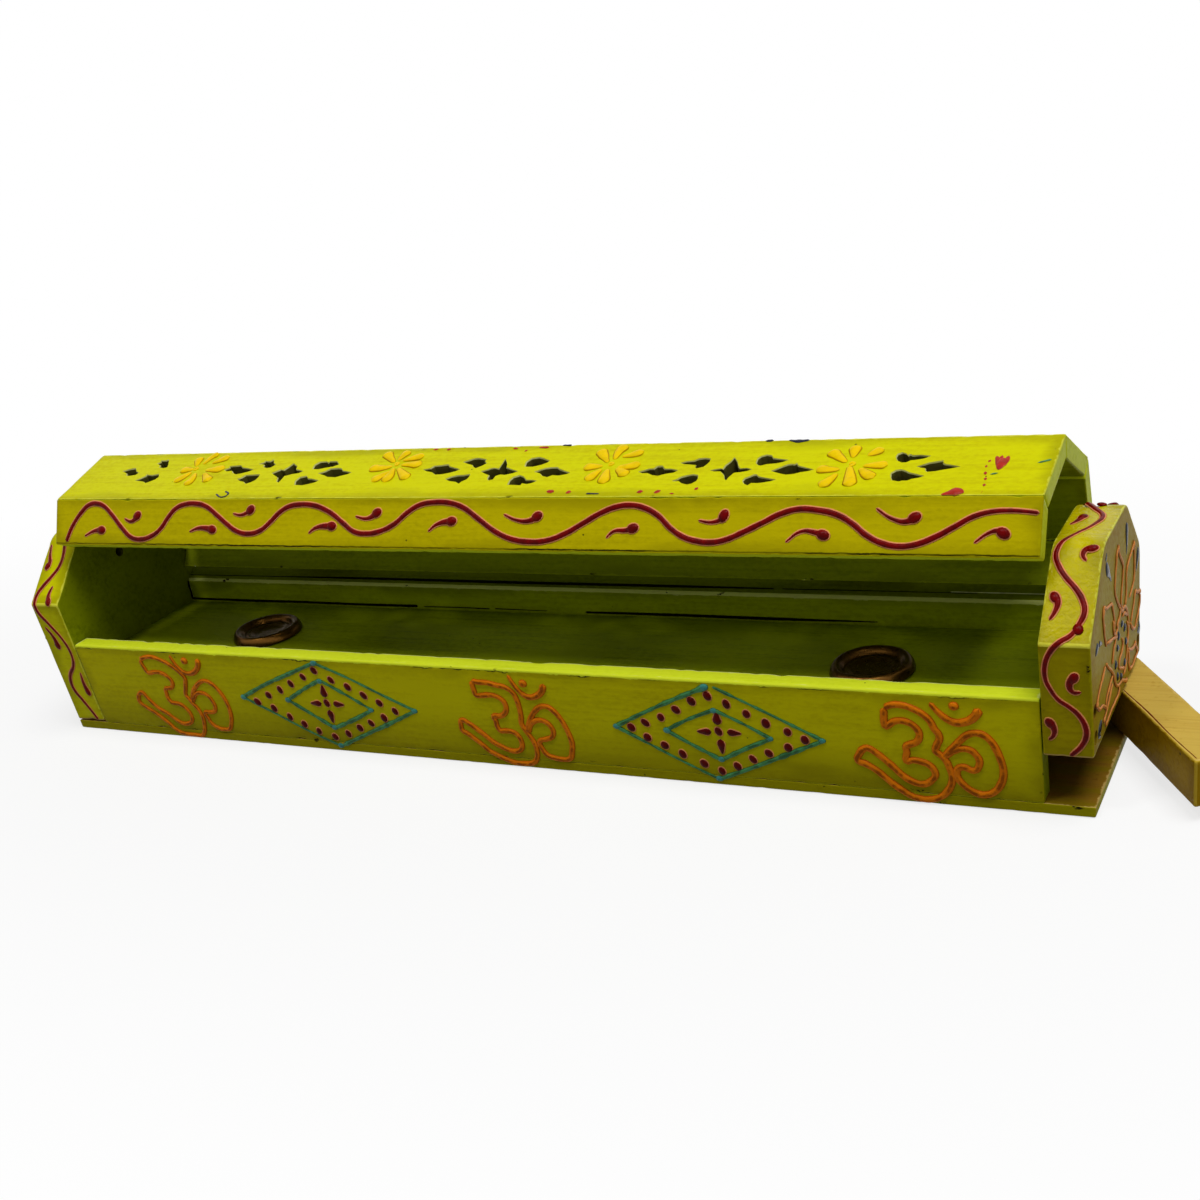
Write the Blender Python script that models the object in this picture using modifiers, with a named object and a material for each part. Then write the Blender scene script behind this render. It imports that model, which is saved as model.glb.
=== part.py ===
"""Coffin-shaped wooden incense box.

A lid of five boards, pierced with leaves and stars, turns on two butt hinges behind the rear wall.
Under the right end board a square stick swings out to open the store below the tray floor.
Metres. X runs along the box, the front faces -Y, and Z is measured up from the underside.
"""

import math

import bmesh
import bpy
from mathutils import Matrix, Vector

# Outline of the box, seen from its end, and its length
BOX_LENGTH = 0.300
BASE_HALF_WIDTH = 0.0262
WAIST_HALF_WIDTH = 0.0284
WAIST_HEIGHT = 0.0412
TOP_HALF_WIDTH = 0.0125
BOX_HEIGHT = 0.0568

# Heights measured down from the waist, and how much taller the rear wall is
LID_FRONT_STRIP_HEIGHT = 0.0128
TRAY_DEPTH = 0.0067
STORE_MOUTH_LINTEL = 0.0020
REAR_WALL_EXTRA_HEIGHT = 0.0031

# Boards
BASE_PLANK_THICKNESS = 0.0025
END_BOARD_THICKNESS = 0.0105
WALL_THICKNESS = 0.0055
TRAY_FLOOR_THICKNESS = 0.0050
LID_BOARD_THICKNESS = 0.0050
BOARD_EDGE_ROUNDING = 0.0004

# Clearances
JOINT_LINE = 0.0003
LID_END_CLEARANCE = 0.0004
PIN_CLEARANCE = 0.0003
CUT_OVERRUN = 0.0020
WELD_DISTANCE = 0.00001

# Store door: a square stick that turns about a nail at its rear end
DOOR_FRONT_STANDOUT = 0.0032
DOOR_SIDE_STANDOUT = 0.0012
DOOR_TOP_CLEARANCE = 0.0005
DOOR_BOTTOM_CLEARANCE = 0.0009
DOOR_OPEN_ANGLE = math.radians(33.2)

# Butt hinges
HINGE_WIDTH = 0.0220
HINGE_LEAF_THICKNESS = 0.0008
HINGE_LEAF_MARGIN = 0.0017
HINGE_KNUCKLE_RADIUS = 0.0021
HINGE_PIN_RADIUS = 0.0009
HINGE_PIN_HEAD_HEIGHT = 0.0005
HINGE_INSET = 0.0541
HINGE_NAIL_INSET = 0.0044
LID_OPEN_ANGLE = math.radians(29.2)

# Nails and brads
NAIL_HEAD_RADIUS = 0.0012
NAIL_HEAD_HEIGHT = 0.0005
NAIL_SHANK_RADIUS = 0.0005
HINGE_NAIL_LENGTH = 0.0042
PLANK_BRAD_LENGTH = 0.0100
END_BRAD_GRIP = 0.0080
PIVOT_NAIL_RADIUS = 0.0009
PIVOT_NAIL_GRIP = 0.0075
NAIL_CLEARANCE = 0.0003

# Hole in the left end board for the foot of an incense stick
STICK_HOLE_RADIUS = 0.0012
STICK_HOLE_DEPTH = 0.0060
STICK_HOLE_RISE = 0.0053

# Ring cups on the tray floor, each set in from its own end of the tray and from the middle line
CUP_RADIUS = 0.0101
CUP_HEIGHT = 0.0025
LEFT_CUP_INSET = 0.0492
LEFT_CUP_OFFSET = 0.0
RIGHT_CUP_INSET = 0.0440
RIGHT_CUP_OFFSET = -0.0042

# Cut-outs through the lid's slopes
LEAF_HALF_LENGTH = 0.0047
LEAF_HALF_WIDTH = 0.0020
STAR_HALF_LENGTH = 0.0062
STAR_HALF_WIDTH = 0.0040
SLOPE_END_SPACE = 0.03147
PATTERN_SHIFT = 0.0022

# Outlines as shares of the sizes above
LEAF_SHARES = (
    (1.0, 0.0), (0.45, 0.45), (0.0, 0.95), (-0.55, 0.85), (-1.0, 0.3),
    (-0.7, -0.35), (-0.85, -0.9), (-0.2, -0.95), (0.4, -0.6),
)
STAR_SHARES = (
    (1.0, 0.0), (0.32, 0.3), (0.3, 1.0), (-0.15, 0.4),
    (-1.0, 0.0), (-0.35, -0.3), (-0.3, -1.0), (0.2, -0.35),
)
CUP_SHARES = (
    (0.0, 0.24), (0.46, 0.24), (0.52, 0.38), (0.60, 0.42), (0.66, 0.38), (0.71, 0.74),
    (0.77, 0.95), (0.84, 1.0), (0.91, 0.86), (0.97, 0.52), (1.0, 0.16), (1.0, 0.0), (0.0, 0.0),
)
# Each leaf from its star: across in star lengths, up in star widths, its turn and its size
BOUQUET_LEAF_SHARES = (
    (-2.85, 0.30, 0.98, 1.0), (-1.52, 1.05, 0.95, 0.8), (-1.68, -0.78, 0.07, 0.8),
    (1.42, -1.08, 0.0, 0.8), (1.55, 0.87, 0.03, 0.8), (2.62, -0.18, 0.02, 1.0),
)
# The same for the three leaves near each end of a slope, measured from that end
LEFT_TRIO_SHARES = ((2.90, 0.62, 0.03, 0.7), (4.40, -0.20, 0.06, 0.9), (4.50, 1.45, 0.96, 0.6))
RIGHT_TRIO_SHARES = ((-5.10, 0.80, 0.0, 0.85), (-3.90, -0.10, 0.02, 1.0), (-5.00, -1.0, 0.0, 0.85))
PLANK_BRAD_SHARES = (-0.82, 0.02, 0.82)
END_BRAD_SHARES = (0.28, 0.74)
PIN_HEAD_SHARES = (0.5, 0.7)

# Sizes worked out from those above
FRONT_WALL_TOP = WAIST_HEIGHT - LID_FRONT_STRIP_HEIGHT
HINGE_SEAM_HEIGHT = FRONT_WALL_TOP + REAR_WALL_EXTRA_HEIGHT
TRAY_FLOOR_TOP = FRONT_WALL_TOP - TRAY_DEPTH
STORE_MOUTH_TOP = TRAY_FLOOR_TOP - TRAY_FLOOR_THICKNESS - STORE_MOUTH_LINTEL
INNER_HALF_LENGTH = BOX_LENGTH / 2 - END_BOARD_THICKNESS
WALL_HALF_LENGTH = INNER_HALF_LENGTH - JOINT_LINE
LID_HALF_LENGTH = INNER_HALF_LENGTH - LID_END_CLEARANCE
DOOR_WIDTH = END_BOARD_THICKNESS
HINGE_PLACE = LID_HALF_LENGTH - HINGE_INSET
HINGE_LEAF_LENGTH = WAIST_HEIGHT - HINGE_SEAM_HEIGHT - HINGE_LEAF_MARGIN
HINGE_KNUCKLE_LENGTH = HINGE_WIDTH / 3
BORE_RADIUS = HINGE_PIN_RADIUS + PIN_CLEARANCE

# Outlines are drawn this many times larger, because a curve's fill is coarse at small sizes, and
# their corners are then welded over this share of their depth
DRAWING_SCALE = 1000
WELD_SHARE = 0.0001

PAINTED_WOOD = ("lime_paint", (0.33, 0.35, 0.01), 0.55, 0.0)
BARE_WOOD = ("bare_wood", (0.55, 0.36, 0.13), 0.70, 0.0)
CUP_METAL = ("old_bronze", (0.16, 0.08, 0.03), 0.35, 1.0)
HINGE_METAL = ("hinge_brass", (0.55, 0.38, 0.14), 0.40, 1.0)
NAIL_METAL = ("nail_steel", (0.32, 0.30, 0.28), 0.45, 1.0)


def half_width(height):
    """Half width of the box at a height up to its waist, where the sides lean outwards."""
    return BASE_HALF_WIDTH + (WAIST_HALF_WIDTH - BASE_HALF_WIDTH) * height / WAIST_HEIGHT


def clear_scene():
    for leftover in list(bpy.data.objects):
        bpy.data.objects.remove(leftover)


def new_collection(name):
    collection = bpy.data.collections.new(name)
    bpy.context.scene.collection.children.link(collection)
    return collection


def material_of(finish):
    name, colour, roughness, metallic = finish
    material = bpy.data.materials.get(name) or bpy.data.materials.new(name)
    material.use_nodes = True
    shader = material.node_tree.nodes["Principled BSDF"]
    shader.inputs["Base Color"].default_value = (*colour, 1)
    shader.inputs["Roughness"].default_value = roughness
    shader.inputs["Metallic"].default_value = metallic
    return material


def across_box(x):
    """Places an end view: its first coordinate runs along Y, its second along Z, its depth along X."""
    return Matrix(((0, 0, 1, x), (1, 0, 0, 0), (0, 1, 0, 0), (0, 0, 0, 1)))


def facing(place, direction):
    """Places a shape at a point with its own Z along the direction."""
    return Matrix.Translation(place) @ direction.to_track_quat("Z", "Y").to_matrix().to_4x4()


def cleaned(mesh, merge, flat_caps):
    """Welds loose caps, joins the triangles of plain ones, turns the faces outwards, back at real size."""
    shape = bmesh.new()
    shape.from_mesh(mesh)
    bmesh.ops.remove_doubles(shape, verts=shape.verts, dist=merge)
    bmesh.ops.scale(shape, vec=[1 / DRAWING_SCALE] * 3, verts=shape.verts)
    if flat_caps:
        bmesh.ops.dissolve_limit(
            shape, angle_limit=math.radians(0.1), verts=shape.verts, edges=shape.edges
        )
    bmesh.ops.recalc_face_normals(shape, faces=shape.faces)
    shape.to_mesh(mesh)
    shape.free()


def prism(name, outlines, depth, placement, collection):
    """Flat outlines drawn large as a filled curve, extruded to a depth and made a mesh."""
    curve = bpy.data.curves.new(name, "CURVE")
    curve.dimensions = "2D"
    curve.fill_mode = "BOTH"
    curve.extrude = DRAWING_SCALE * depth / 2
    for outline in outlines:
        spline = curve.splines.new("POLY")
        spline.points.add(len(outline) - 1)
        for point, (across, up) in zip(spline.points, outline):
            point.co = (DRAWING_SCALE * across, DRAWING_SCALE * up, 0, 1)
        spline.use_cyclic_u = True
    drawn = bpy.data.objects.new(name + "_outline", curve)
    drawn.matrix_world = placement
    collection.objects.link(drawn)
    graph = bpy.context.evaluated_depsgraph_get()
    mesh = bpy.data.meshes.new_from_object(drawn.evaluated_get(graph))
    cleaned(mesh, DRAWING_SCALE * depth * WELD_SHARE, flat_caps=len(outlines) == 1)
    piece = bpy.data.objects.new(name, mesh)
    piece.matrix_world = drawn.matrix_world.copy()
    collection.objects.link(piece)
    bpy.data.objects.remove(drawn)
    return piece


def turned(name, profile, steps, placement, collection):
    """A profile of (radius, height) turned about its own Z axis."""
    shape = bmesh.new()
    corners = [shape.verts.new((radius, 0, height)) for radius, height in profile]
    for above, below in zip(corners, corners[1:]):
        shape.edges.new((above, below))
    mesh = bpy.data.meshes.new(name)
    shape.to_mesh(mesh)
    shape.free()
    piece = bpy.data.objects.new(name, mesh)
    piece.matrix_world = placement
    collection.objects.link(piece)
    screw = piece.modifiers.new("turn", "SCREW")
    screw.axis = "Z"
    screw.steps = steps
    screw.render_steps = steps
    screw.use_merge_vertices = True
    screw.merge_threshold = WELD_DISTANCE
    screw.use_smooth_shade = True
    return piece


def cylinder(name, radius, low, high, placement, collection, sides=12):
    """A round bar along the placement's Z, from low to high."""
    shape = bmesh.new()
    bmesh.ops.create_cone(
        shape, cap_ends=True, segments=sides, radius1=radius, radius2=radius, depth=high - low,
        matrix=Matrix.Translation((0, 0, (low + high) / 2)),
    )
    mesh = bpy.data.meshes.new(name)
    shape.to_mesh(mesh)
    shape.free()
    mesh.shade_smooth()
    mesh.set_sharp_from_angle(angle=math.radians(40))
    piece = bpy.data.objects.new(name, mesh)
    piece.matrix_world = placement
    collection.objects.link(piece)
    return piece


def box(name, low, high, placement, collection):
    """A block between two corners of the placement's own frame."""
    size = Vector(high) - Vector(low)
    middle = (Vector(high) + Vector(low)) / 2
    shape = bmesh.new()
    bmesh.ops.create_cube(shape, size=1)
    bmesh.ops.scale(shape, vec=size, verts=shape.verts)
    bmesh.ops.translate(shape, vec=middle, verts=shape.verts)
    mesh = bpy.data.meshes.new(name)
    shape.to_mesh(mesh)
    shape.free()
    piece = bpy.data.objects.new(name, mesh)
    piece.matrix_world = placement
    collection.objects.link(piece)
    return piece


class Workshop:
    """The collections that pieces and cutters go in, and the two pivots that moving ones hang from."""

    def __init__(self):
        self.parts = new_collection("incense_box")
        self.cutters = new_collection("incense_box_cutters")
        self.lid_pivot = self.pivot("lid_pivot", HINGE_AXIS)
        self.door_pivot = self.pivot("door_pivot", DOOR_AXIS)

    def pivot(self, name, place):
        empty = bpy.data.objects.new(name, None)
        empty.location = place
        self.parts.objects.link(empty)
        return empty

    def hang(self, piece, pivot):
        """Parents a piece to a pivot where it lies, with the pivot still shut."""
        placed = piece.matrix_world.copy()
        piece.parent = pivot
        piece.matrix_parent_inverse = Matrix.Translation(pivot.location).inverted()
        piece.matrix_basis = placed
        return piece

    def finish(self, piece, finish, rounded=True):
        piece.data.materials.append(material_of(finish))
        if rounded:
            bevel = piece.modifiers.new("eased_edges", "BEVEL")
            bevel.width = BOARD_EDGE_ROUNDING
            bevel.segments = 1
            bevel.limit_method = "ANGLE"
            bevel.angle_limit = math.radians(25)
        return piece

    def cut(self, piece, cutter):
        cutter.hide_render = True
        cutter.display_type = "WIRE"
        modifier = piece.modifiers.new("cut_" + cutter.name, "BOOLEAN")
        modifier.operation = "DIFFERENCE"
        modifier.solver = "EXACT"
        modifier.object = cutter


def face_frame(side, height, direction=1):
    """Frame on a leaning wall face, on the middle of the box: X out of the wall, Y up or down the face."""
    lean = math.atan2(WAIST_HALF_WIDTH - BASE_HALF_WIDTH, WAIST_HEIGHT)
    out = Vector((0, side * math.cos(lean), -math.sin(lean)))
    up = Vector((0, side * math.sin(lean), math.cos(lean))) * direction
    along = out.cross(up)
    frame = Matrix.Identity(4)
    for column, axis in enumerate((out, up, along)):
        frame.col[column][:3] = axis
    frame.translation = (0, side * half_width(height), height)
    return frame


def slope_frame(side):
    """Frame on a lid slope: X along the box, Y up the slope from the waist, Z out of the lid."""
    up = Vector((0, WAIST_HALF_WIDTH - TOP_HALF_WIDTH, BOX_HEIGHT - WAIST_HEIGHT)).normalized()
    along = Vector((1, 0, 0))
    frame = Matrix.Identity(4)
    for column, axis in enumerate((along, up, along.cross(up))):
        frame.col[column][:3] = axis
    frame.translation = (0, -WAIST_HALF_WIDTH, WAIST_HEIGHT)
    return frame if side < 0 else Matrix.Rotation(math.pi, 4, "Z") @ frame


HINGE_AXIS = face_frame(1, HINGE_SEAM_HEIGHT) @ Vector((JOINT_LINE + HINGE_KNUCKLE_RADIUS, 0, 0))
DOOR_HEIGHTS = (BASE_PLANK_THICKNESS + DOOR_BOTTOM_CLEARANCE, STORE_MOUTH_TOP - DOOR_TOP_CLEARANCE)
DOOR_REAR = half_width(sum(DOOR_HEIGHTS) / 2)
DOOR_AXIS = Vector(
    (BOX_LENGTH / 2 + DOOR_SIDE_STANDOUT - DOOR_WIDTH / 2, DOOR_REAR - DOOR_WIDTH / 2, 0)
)


# Nails, and the holes that they leave


def nail_profile(shank, length):
    return (
        (0, NAIL_HEAD_HEIGHT),
        (NAIL_HEAD_RADIUS, NAIL_HEAD_HEIGHT / 2),
        (NAIL_HEAD_RADIUS, 0),
        (shank, 0),
        (shank, -length),
        (0, -length),
    )


def drive_nail(shop, name, place, out, shank, length, pieces, sunk, pivot=None):
    """A nail with its head's underside at a place, its shank going the other way from out, and its holes."""
    placement = facing(place, out)
    nail = turned(name, nail_profile(shank, length), 8, placement, shop.parts)
    shop.finish(nail, NAIL_METAL, rounded=False)
    hole = cylinder(
        name + "_hole", shank + NAIL_CLEARANCE, -length - NAIL_CLEARANCE, CUT_OVERRUN,
        placement, shop.cutters, sides=8,
    )
    cutters = [hole]
    if sunk:
        cutters.append(
            cylinder(
                name + "_sink", NAIL_HEAD_RADIUS + NAIL_CLEARANCE, -NAIL_CLEARANCE,
                NAIL_HEAD_HEIGHT + CUT_OVERRUN, placement, shop.cutters, sides=10,
            )
        )
    for piece in pieces:
        shop.cut(piece, hole)
    for sink in cutters[1:]:
        shop.cut(pieces[0], sink)
    if pivot:
        for moving in (nail, *cutters):
            shop.hang(moving, pivot)


# Fixed boards


def wall_outline(side, low, high, thickness):
    """End view of a leaning board whose outer face follows the box's side."""
    return [
        (side * half_width(low), low),
        (side * half_width(high), high),
        (side * (half_width(high) - thickness), high),
        (side * (half_width(low) - thickness), low),
    ]


def make_wall(shop, name, side, top):
    outline = wall_outline(side, BASE_PLANK_THICKNESS + JOINT_LINE, top, WALL_THICKNESS)
    wall = prism(name, [outline], 2 * WALL_HALF_LENGTH, across_box(0), shop.parts)
    return shop.finish(wall, PAINTED_WOOD)


def make_base_plank(shop):
    top = BASE_PLANK_THICKNESS
    outline = [
        (-half_width(0), 0), (half_width(0), 0), (half_width(top), top), (-half_width(top), top),
    ]
    plank = prism("base_plank", [outline], BOX_LENGTH, across_box(0), shop.parts)
    return shop.finish(plank, PAINTED_WOOD)


def make_tray_floor(shop):
    low = TRAY_FLOOR_TOP - TRAY_FLOOR_THICKNESS
    fit = WALL_THICKNESS + JOINT_LINE
    outline = [
        (side * (half_width(height) - fit), height)
        for side, height in ((-1, low), (1, low), (1, TRAY_FLOOR_TOP), (-1, TRAY_FLOOR_TOP))
    ]
    floor = prism("tray_floor", [outline], 2 * WALL_HALF_LENGTH, across_box(0), shop.parts)
    return shop.finish(floor, PAINTED_WOOD)


def make_end_board(shop, name, side, low):
    right_half = [
        (half_width(low), low), (WAIST_HALF_WIDTH, WAIST_HEIGHT), (TOP_HALF_WIDTH, BOX_HEIGHT),
    ]
    outline = right_half + [(-across, up) for across, up in reversed(right_half)]
    middle = side * (BOX_LENGTH - END_BOARD_THICKNESS) / 2
    board = prism(name, [outline], END_BOARD_THICKNESS, across_box(middle), shop.parts)
    return shop.finish(board, PAINTED_WOOD)


def drill_stick_hole(shop, board):
    mouth = Vector((-INNER_HALF_LENGTH, 0, WAIST_HEIGHT + STICK_HOLE_RISE))
    hole = cylinder(
        "stick_hole", STICK_HOLE_RADIUS, -STICK_HOLE_DEPTH, CUT_OVERRUN,
        facing(mouth, Vector((1, 0, 0))), shop.cutters,
    )
    shop.cut(board, hole)


def drive_brads(shop, plank, walls, end_boards):
    sunk_depth = JOINT_LINE + NAIL_HEAD_HEIGHT
    down = Vector((0, 0, -1))
    for wall_name, side in (("front", -1), ("rear", 1)):
        across = side * (half_width(0) - WALL_THICKNESS / 2)
        for index, share in enumerate(PLANK_BRAD_SHARES, 1):
            place = Vector((share * WALL_HALF_LENGTH, across, sunk_depth))
            drive_nail(
                shop, f"plank_brad_{wall_name}_{index}", place, down, NAIL_SHANK_RADIUS,
                PLANK_BRAD_LENGTH, (plank, walls[wall_name]), sunk=True,
            )
        for end_name, end in (("left", -1), ("right", 1)):
            for index, share in enumerate(END_BRAD_SHARES, 1):
                height = STORE_MOUTH_TOP + share * (FRONT_WALL_TOP - STORE_MOUTH_TOP)
                across = side * (half_width(height) - WALL_THICKNESS / 2)
                place = Vector((end * (BOX_LENGTH / 2 - sunk_depth), across, height))
                drive_nail(
                    shop, f"end_brad_{end_name}_{wall_name}_{index}", place, Vector((end, 0, 0)),
                    NAIL_SHANK_RADIUS, END_BOARD_THICKNESS - sunk_depth + END_BRAD_GRIP,
                    (end_boards[end_name], walls[wall_name]), sunk=True,
                )


# Ring cups


def make_cups(shop):
    profile = [(across * CUP_RADIUS, up * CUP_HEIGHT) for across, up in CUP_SHARES]
    places = {
        "cone_cup_left": (LEFT_CUP_INSET - WALL_HALF_LENGTH, LEFT_CUP_OFFSET),
        "cone_cup_right": (WALL_HALF_LENGTH - RIGHT_CUP_INSET, RIGHT_CUP_OFFSET),
    }
    for name, (x, y) in places.items():
        seat = Matrix.Translation((x, y, TRAY_FLOOR_TOP + JOINT_LINE))
        shop.finish(turned(name, profile, 28, seat, shop.parts), CUP_METAL, rounded=False)


# Lid


def lid_corners():
    """Outer corners of the shut lid in the end view, from its front lower edge over to the rear one."""
    front_low = FRONT_WALL_TOP + JOINT_LINE
    rear_low = HINGE_SEAM_HEIGHT + JOINT_LINE / 2
    return [
        Vector((-half_width(front_low), front_low)),
        Vector((-WAIST_HALF_WIDTH, WAIST_HEIGHT)),
        Vector((-TOP_HALF_WIDTH, BOX_HEIGHT)),
        Vector((TOP_HALF_WIDTH, BOX_HEIGHT)),
        Vector((WAIST_HALF_WIDTH, WAIST_HEIGHT)),
        Vector((half_width(rear_low), rear_low)),
    ]


def mitre(before, corner, after):
    """Step from a corner along its mitre for each unit of board thickness, and the spread of the mitre."""
    arriving = (corner - before).normalized()
    leaving = (after - corner).normalized()
    inwards = (leaving - arriving).normalized()
    spread = 1 / abs(leaving.x * inwards.y - leaving.y * inwards.x)
    return inwards * spread, spread


def lid_board_outline(corners, index):
    """End view of one lid board, mitred against its neighbours with a joint line between them."""
    start, end = corners[index], corners[index + 1]
    along = (end - start).normalized()
    edges = []
    for corner, step in ((index, 1), (index + 1, -1)):
        if 0 < corner < len(corners) - 1:
            across, spread = mitre(corners[corner - 1], corners[corner], corners[corner + 1])
            outer = corners[corner] + along * (step * spread * JOINT_LINE / 2)
            inner = outer + across * LID_BOARD_THICKNESS
        else:
            level = 1 if corners[corner].x < 0 else -1
            outer = corners[corner]
            inner = outer + Vector((level * LID_BOARD_THICKNESS / abs(along.y), 0))
        edges.append((outer, inner))
    (outer_start, inner_start), (outer_end, inner_end) = edges
    return [tuple(point) for point in (outer_start, outer_end, inner_end, inner_start)]


def make_lid_boards(shop):
    names = ("lid_front_strip", "lid_front_slope", "lid_top", "lid_rear_slope", "lid_rear_strip")
    corners = lid_corners()
    boards = {}
    for index, name in enumerate(names):
        outline = lid_board_outline(corners, index)
        board = prism(name, [outline], 2 * LID_HALF_LENGTH, across_box(0), shop.parts)
        boards[name] = shop.hang(shop.finish(board, PAINTED_WOOD), shop.lid_pivot)
    return boards


def placed_outline(shares, long_size, wide_size, centre, turn):
    """An outline of shares at its real size, turned by a share of a full turn and moved to its centre."""
    angle = 2 * math.pi * turn
    placed = []
    for along, across in shares:
        x, y = along * long_size, across * wide_size
        placed.append(
            (
                centre[0] + x * math.cos(angle) - y * math.sin(angle),
                centre[1] + x * math.sin(angle) + y * math.cos(angle),
            )
        )
    return placed


def leaf_outline(start, share, points_left):
    """A leaf at its share of the way from a start, with its tip to the left or to the right."""
    across, up, turn, size = share
    centre = (start[0] + across * STAR_HALF_LENGTH, start[1] + up * STAR_HALF_WIDTH)
    outline = placed_outline(
        LEAF_SHARES, size * LEAF_HALF_LENGTH, size * LEAF_HALF_WIDTH, centre, turn
    )
    if points_left:
        return [(2 * centre[0] - x, y) for x, y in outline]
    return outline


def slope_cutouts():
    """Every hole through one slope, in its own frame: bouquets spread evenly between the end leaves."""
    middle = math.hypot(WAIST_HALF_WIDTH - TOP_HALF_WIDTH, BOX_HEIGHT - WAIST_HEIGHT) / 2
    furthest = max(abs(across) for across, up, turn, size in BOUQUET_LEAF_SHARES)
    bouquet = 2 * (furthest * STAR_HALF_LENGTH + LEAF_HALF_LENGTH)
    pitch = (2 * (LID_HALF_LENGTH - SLOPE_END_SPACE) + bouquet) / 4
    outlines = []
    for column in (-1, 0, 1):
        star = (PATTERN_SHIFT + column * pitch, middle)
        outlines.append(placed_outline(STAR_SHARES, STAR_HALF_LENGTH, STAR_HALF_WIDTH, star, 0))
        for share in BOUQUET_LEAF_SHARES:
            outlines.append(leaf_outline(star, share, points_left=share[0] < 0))
    for side, trio in ((-1, LEFT_TRIO_SHARES), (1, RIGHT_TRIO_SHARES)):
        end = (side * LID_HALF_LENGTH, middle)
        outlines.extend(leaf_outline(end, share, points_left=side < 0) for share in trio)
    return outlines


def pierce_slopes(shop, boards):
    for name, side in (("lid_front_slope", -1), ("lid_rear_slope", 1)):
        placement = slope_frame(side) @ Matrix.Translation((0, 0, -LID_BOARD_THICKNESS / 2))
        depth = LID_BOARD_THICKNESS + 2 * CUT_OVERRUN
        cutter = prism(name + "_cutouts", slope_cutouts(), depth, placement, shop.cutters)
        shop.hang(cutter, shop.lid_pivot)
        shop.cut(boards[name], cutter)


# Hinges


def leaf_profile():
    """End view of a leaf with its rolled knuckle: X out of the wall, Y away from the pin along the face."""
    centre = Vector((JOINT_LINE + HINGE_KNUCKLE_RADIUS, 0))
    meets = math.acos((HINGE_KNUCKLE_RADIUS - HINGE_LEAF_THICKNESS) / HINGE_KNUCKLE_RADIUS)
    first, last, steps = math.pi, 3 * math.pi - meets, 14
    angles = [first + (last - first) * step / steps for step in range(steps + 1)]
    roll = [
        (
            centre.x + HINGE_KNUCKLE_RADIUS * math.cos(angle),
            centre.y + HINGE_KNUCKLE_RADIUS * math.sin(angle),
        )
        for angle in angles
    ]
    outer = JOINT_LINE + HINGE_LEAF_THICKNESS
    return [(JOINT_LINE, HINGE_LEAF_LENGTH), *roll, (outer, HINGE_LEAF_LENGTH)]


def bore_outline():
    centre = JOINT_LINE + HINGE_KNUCKLE_RADIUS
    angles = [2 * math.pi * step / 12 for step in range(12)]
    return [
        (centre + BORE_RADIUS * math.cos(angle), BORE_RADIUS * math.sin(angle)) for angle in angles
    ]


def make_leaf(shop, name, x, direction, notches):
    """A hinge leaf at x: direction 1 goes up onto the lid, -1 down onto the wall."""
    frame = Matrix.Translation((x, 0, 0)) @ face_frame(1, HINGE_SEAM_HEIGHT, direction)
    leaf = prism(name, [leaf_profile(), bore_outline()], HINGE_WIDTH, frame, shop.parts)
    shop.finish(leaf, HINGE_METAL, rounded=False)
    reach = HINGE_KNUCKLE_RADIUS + JOINT_LINE
    for index, (low, high) in enumerate(notches, 1):
        notch = box(
            f"{name}_notch_{index}",
            (-CUT_OVERRUN, -reach - CUT_OVERRUN, low),
            (2 * reach + CUT_OVERRUN, reach, high),
            frame, shop.cutters,
        )
        shop.cut(leaf, notch)
        if direction > 0:
            shop.hang(notch, shop.lid_pivot)
    if direction > 0:
        shop.hang(leaf, shop.lid_pivot)
    return leaf


def nail_leaf(shop, leaf, board, suffix, x, direction):
    frame = face_frame(1, HINGE_SEAM_HEIGHT, direction)
    plate_start = HINGE_KNUCKLE_RADIUS + JOINT_LINE
    across = (plate_start + HINGE_LEAF_LENGTH) / 2
    head = JOINT_LINE + HINGE_LEAF_THICKNESS + JOINT_LINE
    out = frame.col[0].to_3d()
    for index, side in ((1, -1), (2, 1)):
        place = frame @ Vector((head, across, 0))
        place.x = x + side * (HINGE_WIDTH / 2 - HINGE_NAIL_INSET)
        drive_nail(
            shop, f"hinge_nail_{suffix}_{index}", place, out, NAIL_SHANK_RADIUS, HINGE_NAIL_LENGTH,
            (leaf, board), sunk=False, pivot=shop.lid_pivot if direction > 0 else None,
        )


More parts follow.
